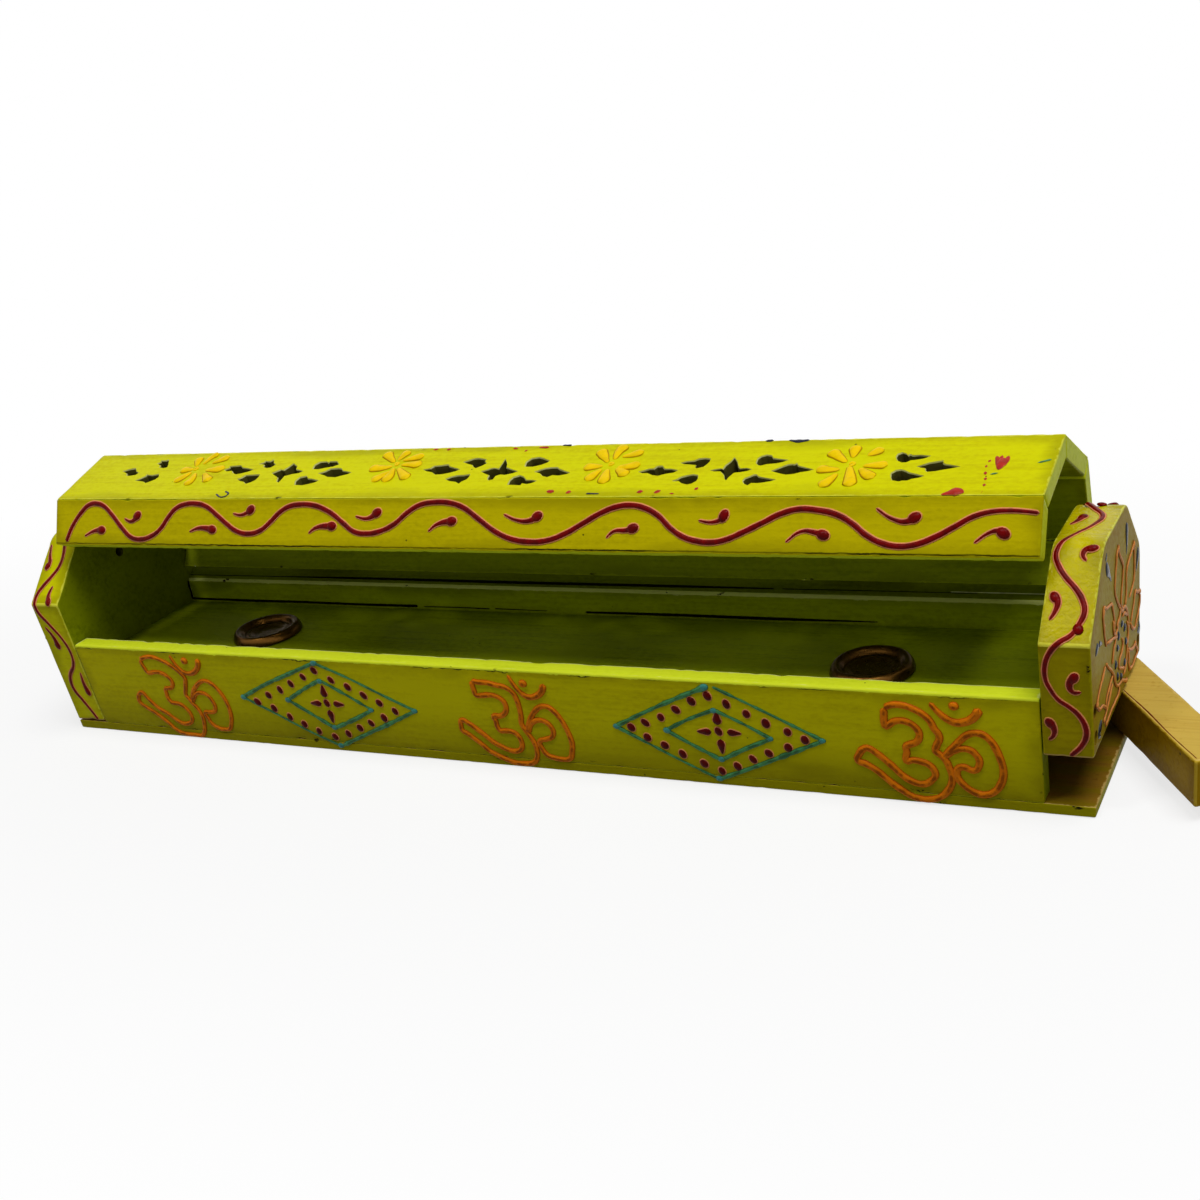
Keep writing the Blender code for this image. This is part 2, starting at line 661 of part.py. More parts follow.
def make_hinges(shop, rear_wall, rear_strip):
    half_middle = HINGE_KNUCKLE_LENGTH / 2
    end = HINGE_WIDTH / 2 + CUT_OVERRUN
    middle_notch = [(-half_middle - JOINT_LINE / 2, half_middle + JOINT_LINE / 2)]
    end_notches = [(-end, -half_middle + JOINT_LINE / 2), (half_middle - JOINT_LINE / 2, end)]
    for side_name, side in (("left", -1), ("right", 1)):
        x = side * HINGE_PLACE
        base = make_leaf(shop, f"hinge_leaf_base_{side_name}", x, -1, middle_notch)
        lid = make_leaf(shop, f"hinge_leaf_lid_{side_name}", x, 1, end_notches)
        nail_leaf(shop, base, rear_wall, f"base_{side_name}", x, -1)
        nail_leaf(shop, lid, rear_strip, f"lid_{side_name}", x, 1)
        half_pin = HINGE_WIDTH / 2 + JOINT_LINE
        crown, rim = (HINGE_KNUCKLE_RADIUS * share for share in PIN_HEAD_SHARES)
        pin = turned(
            f"hinge_pin_{side_name}",
            (
                (0, half_pin + HINGE_PIN_HEAD_HEIGHT),
                (crown, half_pin + HINGE_PIN_HEAD_HEIGHT),
                (rim, half_pin),
                (HINGE_PIN_RADIUS, half_pin),
                (HINGE_PIN_RADIUS, -half_pin),
                (0, -half_pin),
            ),
            12,
            facing(HINGE_AXIS + Vector((x, 0, 0)), Vector((1, 0, 0))),
            shop.parts,
        )
        shop.finish(pin, HINGE_METAL, rounded=False)


# Store door


def make_store_door(shop, plank, end_board):
    radius = DOOR_WIDTH / 2
    front = -DOOR_REAR - DOOR_FRONT_STANDOUT - DOOR_AXIS.y
    steps = 12
    rear_end = [
        (radius * math.cos(math.pi * step / steps), radius * math.sin(math.pi * step / steps))
        for step in range(steps + 1)
    ]
    low, high = DOOR_HEIGHTS
    placement = Matrix.Translation((DOOR_AXIS.x, DOOR_AXIS.y, (low + high) / 2))
    outline = [*rear_end, (-radius, front), (radius, front)]
    door = prism("store_door", [outline], high - low, placement, shop.parts)
    shop.hang(shop.finish(door, BARE_WOOD), shop.door_pivot)
    head = JOINT_LINE + NAIL_HEAD_HEIGHT
    drive_nail(
        shop, "door_pivot_nail", Vector((DOOR_AXIS.x, DOOR_AXIS.y, head)), Vector((0, 0, -1)),
        PIVOT_NAIL_RADIUS, STORE_MOUTH_TOP + PIVOT_NAIL_GRIP - head, (plank, door, end_board),
        sunk=True,
    )


def main():
    clear_scene()
    shop = Workshop()
    plank = make_base_plank(shop)
    front_wall = make_wall(shop, "front_wall", -1, FRONT_WALL_TOP)
    rear_wall = make_wall(shop, "rear_wall", 1, HINGE_SEAM_HEIGHT - JOINT_LINE / 2)
    make_tray_floor(shop)
    left = make_end_board(shop, "end_board_left", -1, BASE_PLANK_THICKNESS + JOINT_LINE)
    right = make_end_board(shop, "end_board_right", 1, STORE_MOUTH_TOP)
    drill_stick_hole(shop, left)
    drive_brads(
        shop, plank, {"front": front_wall, "rear": rear_wall}, {"left": left, "right": right}
    )
    make_cups(shop)
    boards = make_lid_boards(shop)
    pierce_slopes(shop, boards)
    make_hinges(shop, rear_wall, boards["lid_rear_strip"])
    make_store_door(shop, plank, right)
    shop.lid_pivot.rotation_euler.x = -LID_OPEN_ANGLE
    shop.door_pivot.rotation_euler.z = DOOR_OPEN_ANGLE


main()
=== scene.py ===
"""Looks of the painted incense box: worn boards, raised paint, metal cups, and its stage."""

import math
import random
from collections import namedtuple
from functools import reduce

import bmesh
import bpy
from mathutils import Matrix, Vector, noise


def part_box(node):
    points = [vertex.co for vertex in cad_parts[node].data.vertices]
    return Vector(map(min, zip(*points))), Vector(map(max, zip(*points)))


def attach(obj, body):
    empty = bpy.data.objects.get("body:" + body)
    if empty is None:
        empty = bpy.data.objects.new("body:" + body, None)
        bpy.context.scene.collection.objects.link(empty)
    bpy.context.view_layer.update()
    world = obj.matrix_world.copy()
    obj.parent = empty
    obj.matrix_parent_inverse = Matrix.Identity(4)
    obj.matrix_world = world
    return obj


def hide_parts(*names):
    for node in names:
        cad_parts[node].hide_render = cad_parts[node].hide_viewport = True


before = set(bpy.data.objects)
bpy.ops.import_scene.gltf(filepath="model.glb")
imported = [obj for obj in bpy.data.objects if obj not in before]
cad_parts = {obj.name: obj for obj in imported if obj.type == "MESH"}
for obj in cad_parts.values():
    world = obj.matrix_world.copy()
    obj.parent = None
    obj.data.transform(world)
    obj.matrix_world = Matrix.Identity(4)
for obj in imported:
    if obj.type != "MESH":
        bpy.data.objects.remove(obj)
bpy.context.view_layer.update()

bl_info = {
    "name": "Painted incense box",
    "version": (1, 0, 0),
    "blender": (4, 5, 0),
    "location": "3D View > Sidebar > Incense Box",
    "description": "Builds the boards, raised paint, metal and stage of a painted incense box",
    "category": "Object",
}

MM = 0.001

# Sizes of the box in millimetres, with the lid and the store door shut
HALF_LENGTH = 150.0
BASE_HALF, WAIST_HALF, TOP_HALF = 26.2, 28.4, 12.5
WAIST_UP, TOP_UP = 41.2, 56.8
PLANK_TOP, WALL_LOW, FRONT_TOP, REAR_TOP = 2.5, 2.8, 28.4, 31.35
FLOOR_LOW, FLOOR_TOP = 16.7, 21.7
WALL, LID_BOARD = 5.5, 5.0
INNER_HALF, WALL_HALF, LID_HALF = 139.5, 139.2, 139.1
LID_FRONT_LOW, LID_REAR_LOW = 28.7, 31.65
STORE_MOUTH_TOP = 14.7
JOINT_LINE = 0.3
# Paint nearly closes the joints of the lid, both edges of the rear seam fall inwards, the lower
# edge of the front strip hangs down to the wall, and the walls reach down to the plank
SKIN_LINE, SEAM_FALL, STRIP_HANG, WALL_HANG = 0.08, 2.9, 0.25, 0.25
# How far from each corner the tops of the end boards are rounded
END_SOFTENED = 2.8
# How far the cups stand nearer the front than their nodes, in metres
CUP_FORWARD = 0.0008
HINGE_SEAM, KNUCKLE = 31.5, 2.1
LID_ANGLE, DOOR_ANGLE = math.radians(29.2), math.radians(33.2)
DOOR_LOW, DOOR_HIGH, DOOR_RADIUS = 3.4, 14.2, 5.24
DOOR_AXIS = Vector((145.95, 21.4199, 0))
DOOR_FRONT = -29.8698
LEAN = math.atan2(WAIST_HALF - BASE_HALF, WAIST_UP)

# What each face of a board is finished with, as its material slot, and the usual paint of each
OUTSIDE, INSIDE, RAW, RIM, CUT, PANEL, LOWER = range(7)
FINISHES = {
    "outside": "lime paint", "inside": "leaf paint", "raw": "old wood", "rim": "cut rim",
    "cut": "cut wood", "panel": "panel paint", "lower": "shaded lime paint",
}
# Distance in the edge maps of faces that are far from any rubbed edge
FAR = 9.0
# How far the stain round a line of paint spreads
BLED = 0.24


def half_width(up):
    """Half the width of the box at a height below its waist."""
    return BASE_HALF + (WAIST_HALF - BASE_HALF) * up / WAIST_UP


def turned_about(point, angle, axis):
    return Matrix.Translation(point) @ Matrix.Rotation(angle, 4, axis) @ Matrix.Translation(-point)


HINGE_AXIS = Vector(
    (
        0,
        half_width(HINGE_SEAM) + (JOINT_LINE + KNUCKLE) * math.cos(LEAN),
        HINGE_SEAM - (JOINT_LINE + KNUCKLE) * math.sin(LEAN),
    )
)
# Where each body stands in the photograph
PLACES = {
    "box": Matrix.Identity(4),
    "lid": turned_about(HINGE_AXIS, -LID_ANGLE, "X"),
    "store_door": turned_about(DOOR_AXIS, DOOR_ANGLE, "Z"),
}

# Low and high edges of the front's long faces in the end view, and of the top from front to rear
WALL_FACE = ((-BASE_HALF, 0), (-WAIST_HALF, WAIST_UP))
STRIP_FACE = ((-half_width(LID_FRONT_LOW), LID_FRONT_LOW), (-WAIST_HALF, WAIST_UP))
REAR_STRIP_FACE = ((-half_width(LID_REAR_LOW), LID_REAR_LOW), (-WAIST_HALF, WAIST_UP))
SLOPE_FACE = ((-WAIST_HALF, WAIST_UP), (-TOP_HALF, TOP_UP))
TOP_FACE = ((-TOP_HALF, TOP_UP), (TOP_HALF, TOP_UP))
# The end boards' rims, unrolled from the far top corner over the top and down the near side
RIM_CORNERS = [
    Vector(corner)
    for corner in (
        (TOP_HALF, TOP_UP), (-TOP_HALF, TOP_UP), (-WAIST_HALF, WAIST_UP), (-BASE_HALF, 0)
    )
]


def pigment(red, green, blue):
    """A colour mixed on a screen, as the linear values that Blender's colours hold."""
    return tuple(
        c / 255 / 12.92 if c < 10.3 else ((c / 255 + 0.055) / 1.055) ** 2.4
        for c in (red, green, blue)
    )


# Settings that a user would change


def size(name, description, millimetres):
    return bpy.props.FloatProperty(
        name=name, description=description, default=millimetres * MM, min=0, precision=5,
        unit="LENGTH", subtype="DISTANCE",
    )


def colour(name, description, *screen):
    return bpy.props.FloatVectorProperty(
        name=name, description=description, default=pigment(*screen), size=3, min=0, max=1,
        subtype="COLOR",
    )


class IncenseBoxSizes(bpy.types.PropertyGroup):
    """Sizes that the boards and the raised paint are built with."""

    rounding: size("Edge rounding", "Radius worn onto the edges of each board", 0.5)
    dent: size("Hand-planed dent", "Depth of the shallow dents left by hand tools", 0.12)
    chip: size("Edge chip", "Depth of the nicks along the edges", 0.45)
    station: size("Board spacing", "Distance between the cross-sections of a board", 1.6)
    rim: size("Cut rim", "Width of the bare rim round each cut-out", 0.2)
    bead_step: size("Bead spacing", "Distance between the sections of a paint bead", 0.45)
    bead_rise: bpy.props.FloatProperty(
        name="Bead rise", description="Height of a paint bead as a share of its half width",
        default=0.55, min=0.1, max=1, subtype="FACTOR",
    )


class IncenseBoxColours(bpy.types.PropertyGroup):
    """Main colours of the paints, the bare wood and the metals."""

    lime: colour("Lime paint", "Outer faces of the box and the lid", 217, 216, 0)
    lime_shade: colour("Lime shade", "Thin or rubbed patches of the lime paint", 198, 190, 0)
    lime_edge: colour("Lime edge", "Rubbed edges of the lime paint", 236, 236, 84)
    leaf: colour("Leaf paint", "Inner faces of the box and the lid", 161, 173, 6)
    leaf_shade: colour("Leaf shade", "Thin patches of the inner paint", 128, 142, 4)
    leaf_edge: colour("Leaf edge", "Lips and rubbed edges of the inner paint", 214, 226, 44)
    panel: colour("Panel paint", "Outer faces of the end boards", 184, 176, 36)
    panel_shade: colour("Panel shade", "Stained patches of the end boards", 160, 128, 12)
    red: colour("Red paint", "Waves, vines and dots", 122, 0, 0)
    orange: colour("Orange paint", "Signs on the walls", 230, 126, 8)
    teal: colour("Teal paint", "Diamonds on the walls", 70, 144, 86)
    yellow: colour("Yellow paint", "Flowers on the slopes", 248, 210, 0)
    salmon: colour("Salmon paint", "Flowers on the end boards", 222, 144, 66)
    ink: colour("Blue-black paint", "Drops and dots of the end boards", 14, 20, 44)
    wood: colour("Bare wood", "Unpainted wood", 208, 176, 78)
    wood_shade: colour("Wood grain", "Dark lines in the unpainted wood", 176, 132, 44)
    bronze: colour("Bronze", "Cone cups", 98, 66, 26)
    brass: colour("Brass", "Hinges", 186, 150, 82)
    steel: colour("Steel", "Nails and brads", 150, 146, 138)


# Node trees


class Value:
    """A node's output that Python's sums work on: each sum adds its own node."""

    def __init__(self, graph, socket):
        self.graph, self.socket = graph, socket

    def other(self, name):
        """Another output of the same node."""
        return Value(self.graph, self.socket.node.outputs[name])

    def __add__(self, other):
        return self.graph.maths("ADD", self, other)

    def __sub__(self, other):
        return self.graph.maths("SUBTRACT", self, other)

    def __rsub__(self, other):
        return self.graph.maths("SUBTRACT", other, self)

    def __mul__(self, other):
        return self.graph.maths("MULTIPLY", self, other)

    def __truediv__(self, other):
        return self.graph.maths("DIVIDE", self, other)

    __radd__, __rmul__ = __add__, __mul__


class Graph:
    """Makes the nodes of one tree."""

    def __init__(self, tree):
        self.tree = tree

    def node(self, kind, sockets=None, output=0, **settings):
        made = self.tree.nodes.new(kind)
        for name, value in settings.items():
            setattr(made, name, value)
        for name, value in (sockets or {}).items():
            if isinstance(value, Value):
                self.tree.links.new(value.socket, made.inputs[name])
            else:
                made.inputs[name].default_value = value
        return Value(self, made.outputs[output]) if made.outputs else None

    def maths(self, operation, *values):
        return self.node("ShaderNodeMath", dict(enumerate(values)), operation=operation)

    def least(self, *values):
        return reduce(lambda a, b: self.maths("MINIMUM", a, b), values)

    def most(self, *values):
        return reduce(lambda a, b: self.maths("MAXIMUM", a, b), values)

    def part(self, vector, axis):
        return self.node("ShaderNodeSeparateXYZ", {0: vector}, axis)

    def step(self, value, low, high):
        """0 below low and 1 above high, with a smooth change between; the ends may be swapped."""
        sockets = {0: value, 1: low, 2: high, 3: 0.0, 4: 1.0}
        return self.node("ShaderNodeMapRange", sockets, interpolation_type="SMOOTHSTEP")

    def blend(self, factor, first, second):
        """One colour over another."""
        first, second = (c if isinstance(c, Value) else (*c, 1) for c in (first, second))
        return self.node("ShaderNodeMix", {0: factor, 6: first, 7: second}, 2, data_type="RGBA")

    def placed(self, shift=0.0, scale=(1, 1, 1)):
        """The place on the object, in metres, moved and stretched."""
        place = self.node("ShaderNodeTexCoord", output="Object")
        return self.node(
            "ShaderNodeMapping", {"Vector": place, "Location": (shift,) * 3, "Scale": scale}
        )

    def grain(self, along, across, detail=3.0, shift=0.0):
        """Noise that is a number of metres long along the box, and a number across it."""
        moved = self.placed(shift, (1 / along, 1 / across, 1 / across))
        sockets = {"Vector": moved, "Scale": 1.0, "Detail": detail, "Roughness": 0.55}
        return self.node("ShaderNodeTexNoise", sockets)

    def specks(self, spacing, radius, share, shift=0.0):
        """Small round spots in a share of the cells of a grid."""
        sockets = {"Vector": self.placed(shift), "Scale": 1 / spacing}
        cells = self.node("ShaderNodeTexVoronoi", sockets)
        chosen = self.node("ShaderNodeSeparateColor", {0: cells.other("Color")})
        reach = radius / spacing
        return self.step(cells, reach, reach * 0.5) * self.step(chosen, 1 - share, 1 - share + 0.02)

    def edges(self):
        """Distances in millimetres to a face's four edges, from the piece's two edge maps."""
        maps = [self.node("ShaderNodeUVMap", uv_map=name) for name in ("from_start", "from_end")]
        return [self.part(edge_map, axis) for edge_map in maps for axis in "XY"]


def node_graph(block):
    """The nodes of a new material or world."""
    block.use_nodes = True
    return Graph(block.node_tree)


def dress(graph, coat, roughness, height, depth, shine=0.5, metallic=0.0):
    """Links what changes over the surface to the shader, and sets the rest as numbers."""
    shader = graph.tree.nodes["Principled BSDF"]
    relief = graph.node("ShaderNodeBump", {"Strength": 1.0, "Distance": depth, "Height": height})
    for name, value in (("Base Color", coat), ("Roughness", roughness), ("Normal", relief)):
        graph.tree.links.new(value.socket, shader.inputs[name])
    shader.inputs["Specular IOR Level"].default_value = shine
    shader.inputs["Metallic"].default_value = metallic


def mixed(*recipes):
    """Linear colours, each from its name in the settings or from its screen values."""
    settings = bpy.context.scene.incense_box_colours
    return [getattr(settings, c)[:] if isinstance(c, str) else pigment(*c) for c in recipes]


def brushed_paint(
    name, main, shade, edge, stain, gloss, lip=None, seam=0.0, foot=0.0, narrow=None, worn=0.6,
    rub=0.4, wet=0.0,
):
    """Hand-brushed enamel over wood: streaks along the box, rubbed edges, chips and dark specks.

    A lip is the other face's paint, that has run over the high edge, and a foot darkens the low
    edge. A seam is the width of a dark band along the low edge. Narrow faces may have their own
    colour, edges are rubbed as far as rub, and wet paint is glossier and lumpier.
    """
    main, shade, edge, stain = mixed(main, shade, edge, stain)
    under_lip, seam_dirt, bare, speck = mixed((36, 34, 2), (26, 22, 0), (40, 34, 8), (38, 36, 6))
    graph = node_graph(bpy.data.materials.new(name))
    streak = graph.grain(0.030, 0.0010, 5.0)
    blotch = graph.grain(0.035, 0.013, 3.0, 3.1)
    mottle = graph.grain(0.0016, 0.0009, 2.0, 7.7)
    ragged = graph.grain(0.0026, 0.0016, 4.0, 1.3)
    sparse = graph.grain(0.014, 0.006, 2.0, 5.9)
    left, low, right, high = graph.edges()
    nearest = graph.least(left, right, low, high)
    thin_and_flank_shade = graph.step(streak * 0.35 + blotch * 0.40 + mottle * 0.30, 0.46, 0.72)
    coat = graph.blend(thin_and_flank_shade, main, shade)
    wide = graph.step(low + high, 8.0, 12.0)
    if narrow:
        coat = graph.blend(wide, graph.blend(thin_and_flank_shade * 0.5, *mixed(narrow), main), coat)
    soiled = graph.step(nearest + (blotch - 0.5) * 14, 4.0, -1.0) * wide
    coat = graph.blend(soiled * 0.45, coat, stain)
    if foot:
        coat = graph.blend(graph.step(low + (blotch - 0.5) * 10, 15.0, 0.0) * foot, coat, stain)
    if lip:
        spill = high + (ragged - 0.5) * 2.2
        under = graph.step(spill, 0.95, 0.80) * graph.step(sparse, 0.48, 0.58)
        coat = graph.blend(under, coat, under_lip)
        coat = graph.blend(graph.step(spill, 0.62, 0.50), coat, *mixed(lip))
    # A dark band along the low edge
    if seam:
        dirt = graph.step(low + (ragged - 0.5) * 0.5, seam, seam * 0.7) * wide
        patchy = 0.55 + graph.step(blotch, 0.40, 0.56) * 0.45
        coat = graph.blend(dirt * patchy, coat, seam_dirt)
    rubbed = graph.step(nearest + (ragged - 0.5) * 1.6, rub, rub / 4) * worn
    coat = graph.blend(rubbed, coat, edge)
    chipped = graph.step(nearest, 1.1, 0.5) * graph.step(ragged, 0.60, 0.64)
    chipped = chipped * graph.step(sparse, 0.60, 0.68)
    coat = graph.blend(chipped, coat, bare)
    dark = graph.most(graph.specks(0.0042, 0.0003, 0.14), graph.specks(0.009, 0.00044, 0.08, 2.3))
    coat = graph.blend(dark * 0.85, coat, speck)
    height = streak * 0.22 + mottle * 0.22 + blotch * 0.6 - chipped * 0.5 - dark * 0.3
    if wet:
        height = height + graph.grain(0.0011, 0.0011, 2.0, 4.4) * wet
    roughness = gloss + (mottle - 0.5) * 0.30 + chipped * 0.3
    dress(graph, coat, roughness, height, 0.00022, 0.08 if wet else 0.03)


def raised_paint(
    name, main, rim, gloss, ragged_rim=0.35, shade=0.75, flank=0.42, shine=0.16, groove=None
):
    """Thick paint squeezed from a cone: glossy on its crown, and another colour on its flanks.
    Where that flank colour is darker it is painted shade on the bead's sides, and on the blue-black
    paint the paler flank is a painted highlight.

    A groove is the colour of the dirt that lies here and there along the crown.
    """
    main, rim = mixed(main, rim)
    graph = node_graph(bpy.data.materials.new(name))
    crown = graph.node("ShaderNodeAttribute", output="Fac", attribute_name="crown")
    crown = graph.maths("ABSOLUTE", crown)
    lumps = graph.grain(0.0022, 0.0022, 3.0, 4.0)
    fine = graph.grain(0.0005, 0.0005, 2.0, 9.0)
    shaded = tuple(channel * shade for channel in main)
    body = graph.blend(graph.step(lumps, 0.42, 0.66), main, shaded)
    # Flank colour low on the bead: painted shade where the rim colour is darker than the body
    thin_and_flank_shade = graph.step(crown + (lumps - 0.5) * ragged_rim, flank, flank - 0.3)
    coat = graph.blend(thin_and_flank_shade * 0.85, body, rim)
    if groove:
        dirt = graph.step(crown + (lumps - 0.5) * 0.5, 0.88, 1.0) * 0.6
        coat = graph.blend(dirt, coat, *mixed(groove))
    dress(graph, coat, gloss + (fine - 0.5) * 0.35, lumps * 0.8 + fine * 0.4, 0.00012, shine)


def plain_wood(name, main, shade, painted=None):
    """Bare wood with long grain, that may be brushed over with thin paint."""
    main, shade, pale, knot = mixed(main, shade, (232, 200, 120), (70, 40, 10))
    graph = node_graph(bpy.data.materials.new(name))
    fibres = graph.grain(0.030, 0.0006, 6.0)
    bands = graph.grain(0.070, 0.0035, 3.0, 2.0)
    mottle = graph.grain(0.0015, 0.0015, 2.0, 6.0)
    nearest = graph.least(*graph.edges())
    coat = graph.blend(graph.step(fibres * 0.5 + bands * 0.5, 0.46, 0.80), main, shade)
    coat = graph.blend(graph.step(mottle, 0.60, 0.75) * 0.4, coat, shade)
    if painted:
        patchy = graph.grain(0.016, 0.004, 4.0, 8.0)
        coat = graph.blend(graph.step(patchy, 0.62, 0.40) * 0.85, coat, *mixed(painted))
    worn = graph.step(nearest + (mottle - 0.5) * 1.4, 0.5, 0.1)
    coat = graph.blend(worn * 0.5, coat, pale)
    coat = graph.blend(graph.specks(0.006, 0.0004, 0.12) * 0.7, coat, knot)
    roughness = 0.62 + (mottle - 0.5) * 0.3
    dress(graph, coat, roughness, fibres * 0.6 + mottle * 0.3, 0.00016, 0.06)


def aged_metal(name, main, stain, gloss, tarnish=0.5):
    """Cast or rolled metal with dull stains."""
    graph = node_graph(bpy.data.materials.new(name))
    patches = graph.grain(0.006, 0.006, 4.0)
    fine = graph.grain(0.0006, 0.0006, 3.0, 2.0)
    stained = graph.step(patches * 0.7 + fine * 0.3, 0.62 - tarnish * 0.3, 0.72)
    roughness = gloss + stained * 0.22 + (fine - 0.5) * 0.2
    coat = graph.blend(stained, *mixed(main, stain))
    dress(graph, coat, roughness, fine * 0.3 + patches, 0.00004, metallic=1.0)


def paints():
    """Every finish, made once and then shared."""
    if "lime paint" in bpy.data.materials:
        return bpy.data.materials
    olive, soot = (120, 110, 2), (40, 48, 4)
    # A warmer lime for the walls and the plank, also a little darker as painted shade on these
    # front faces
    dulled_and_shaded = (211, 204, 2), (188, 178, 0), "lime_shade", olive
    brushed_paint("lime paint", "lime", "lime_shade", "lime_edge", olive, 0.40)
    brushed_paint(
        "lime end paint", (203, 190, 0), (184, 170, 0), "lime_edge", olive, 0.24, wet=1.0
    )
    brushed_paint(
        "shaded lime paint", (172, 158, 0), (146, 128, 0), "lime_shade", olive, 0.4, worn=0.3
    )
    # Leaf paint darkened as painted shade, for the rear wall's top under the lid and the left end
    # board's inner face
    brushed_paint("seam paint", (134, 144, 4), (104, 114, 2), "leaf", soot, 0.5)
    brushed_paint("lime wall paint", *dulled_and_shaded, 0.42, lip="leaf_edge", foot=0.5, worn=0.0)
    brushed_paint("lime plank paint", *dulled_and_shaded, 0.45, foot=0.6, worn=0.0)
    # A slightly darker, warmer copy of the lime paint for the front strip: the darkening is painted
    # shade
    brushed_paint(
        "lime strip paint", (207, 193, 2), (184, 170, 0), "lime_shade", olive, 0.40, seam=0.8,
        worn=0.3,
    )
    # A lighter copy of the leaf paint for the walls' inner faces and lips: painted light, and its
    # pale edges are a painted highlight along the lips
    brushed_paint(
        "bright leaf paint", (190, 204, 10), "leaf", (236, 240, 150), soot, 0.44,
        narrow=(218, 231, 42), worn=0.8, rub=0.8,
    )
    brushed_paint(
        "leaf paint", "leaf", "leaf_shade", "leaf_edge", soot, 0.44, narrow="leaf_edge", worn=0.3
    )
    brushed_paint("ochre paint", (180, 142, 6), (152, 112, 2), (206, 176, 60), (110, 74, 2), 0.45)
    brushed_paint(
        "panel paint", "panel", "panel_shade", "lime_shade", (150, 112, 8), 0.46, foot=0.7
    )
    plain_wood("bare wood", "wood", "wood_shade")
    # Aged bare wood, darkened also as painted shade for the floor of the store under the end board
    plain_wood("old wood", (132, 96, 22), (84, 56, 8), (120, 100, 4))
    # Walls of the cut-outs and the stick hole, dark as painted shade inside the holes
    plain_wood("cut wood", (84, 80, 30), (44, 42, 12))
    plain_wood("cut rim", (232, 232, 150), (214, 210, 96))
    # In these raised paints a rim colour darker than the main one is painted shade on the bead's
    # flanks
    raised_paint("red paint", "red", (92, 0, 0), 0.26, shade=0.6, shine=0.06)
    raised_paint("dark red paint", (86, 2, 0), (64, 0, 0), 0.26, shade=0.6, shine=0.05)
    raised_paint("faded red paint", (184, 34, 10), (222, 130, 70), 0.4, 0.6, 0.75, 0.6)
    raised_paint("bled paint", (238, 150, 104), (218, 168, 56), 0.5, shine=0.05)
    raised_paint("painted head", (168, 140, 34), (120, 96, 10), 0.5, shine=0.05)
    raised_paint(
        "orange paint", "orange", (176, 78, 2), 0.42, 0.6, 0.80, 0.55, 0.05, groove=(96, 34, 0)
    )
    raised_paint(
        "teal paint", "teal", (30, 78, 22), 0.40, 0.7, 0.55, 0.65, 0.14, groove=(20, 56, 20)
    )
    raised_paint("sea paint", (60, 140, 130), (24, 88, 60), 0.32, 0.5, 0.7)
    raised_paint("ochre bled paint", (206, 146, 0), (200, 160, 0), 0.5, shine=0.05)
    raised_paint("yellow paint", "yellow", (210, 176, 0), 0.38, 0.3, 0.9, 0.45, 0.04)
    # The dark brown flanks of the salmon lines are painted shade
    raised_paint("salmon paint", "salmon", (90, 40, 0), 0.42, 0.5, 1.0, 0.6, 0.06)
    raised_paint("door line paint", (112, 48, 10), (150, 96, 30), 0.5, shine=0.03)
    raised_paint("soot", (12, 13, 1), (20, 22, 2), 0.6, shine=0.02)
    # Paint for a painted highlight line
    raised_paint("pale edge paint", (236, 238, 200), (200, 206, 110), 0.4)
    # The paler flanks of the blue-black drops and dots are a painted highlight
    raised_paint("blue-black paint", "ink", (70, 84, 84), 0.22)
    aged_metal("old bronze", "bronze", (46, 24, 12), 0.30, 0.3)
    aged_metal("hinge brass", "brass", (120, 92, 44), 0.34)
    aged_metal("nail steel", "steel", (96, 84, 70), 0.38)
    return bpy.data.materials


# Meshes


def new_piece(name, data):
    piece = bpy.data.objects.new(name, data)
    bpy.context.scene.collection.objects.link(piece)
    return piece


def to_piece(name, shape):
    mesh = bpy.data.meshes.new(name)
    shape.to_mesh(mesh)
    shape.free()
    return new_piece(name, mesh)


def plain_mesh(piece):
    """The piece's evaluated mesh, with its modifiers gone and its curve or points replaced."""
    graph = bpy.context.evaluated_depsgraph_get()
    mesh = bpy.data.meshes.new_from_object(piece.evaluated_get(graph), depsgraph=graph)
    mesh.name = piece.name
    piece.modifiers.clear()
    return mesh


def edge_maps(shape):
    return [shape.loops.layers.uv.new(name) for name in ("from_start", "from_end")]


def bridged(shape, upper, lower):
    """Faces between two rings of points, of which one may be a single point, with their indices."""
    count = max(len(upper), len(lower))
    for index in range(count):
        following = (index + 1) % count
        order = ((upper, index), (upper, following), (lower, following), (lower, index))
        around = [ring[spot % len(ring)] for ring, spot in order]
        yield index, following, shape.faces.new(list(dict.fromkeys(around)))


def close_to_edges(length, spacing):
    """Distances along a flat run: closely set near both ends, then even."""
    near = [d for d in (0.0, 0.5, 1.3) if d < length / 3]
    count = max(1, round((length - 2 * near[-1]) / spacing))
    step = (length - 2 * near[-1]) / count
    even = [near[-1] + step * index for index in range(1, count)]
    return near + even + [length - d for d in reversed(near)]


RingPoint = namedtuple("RingPoint", "place inward stretch sides begin finish softness anchor")


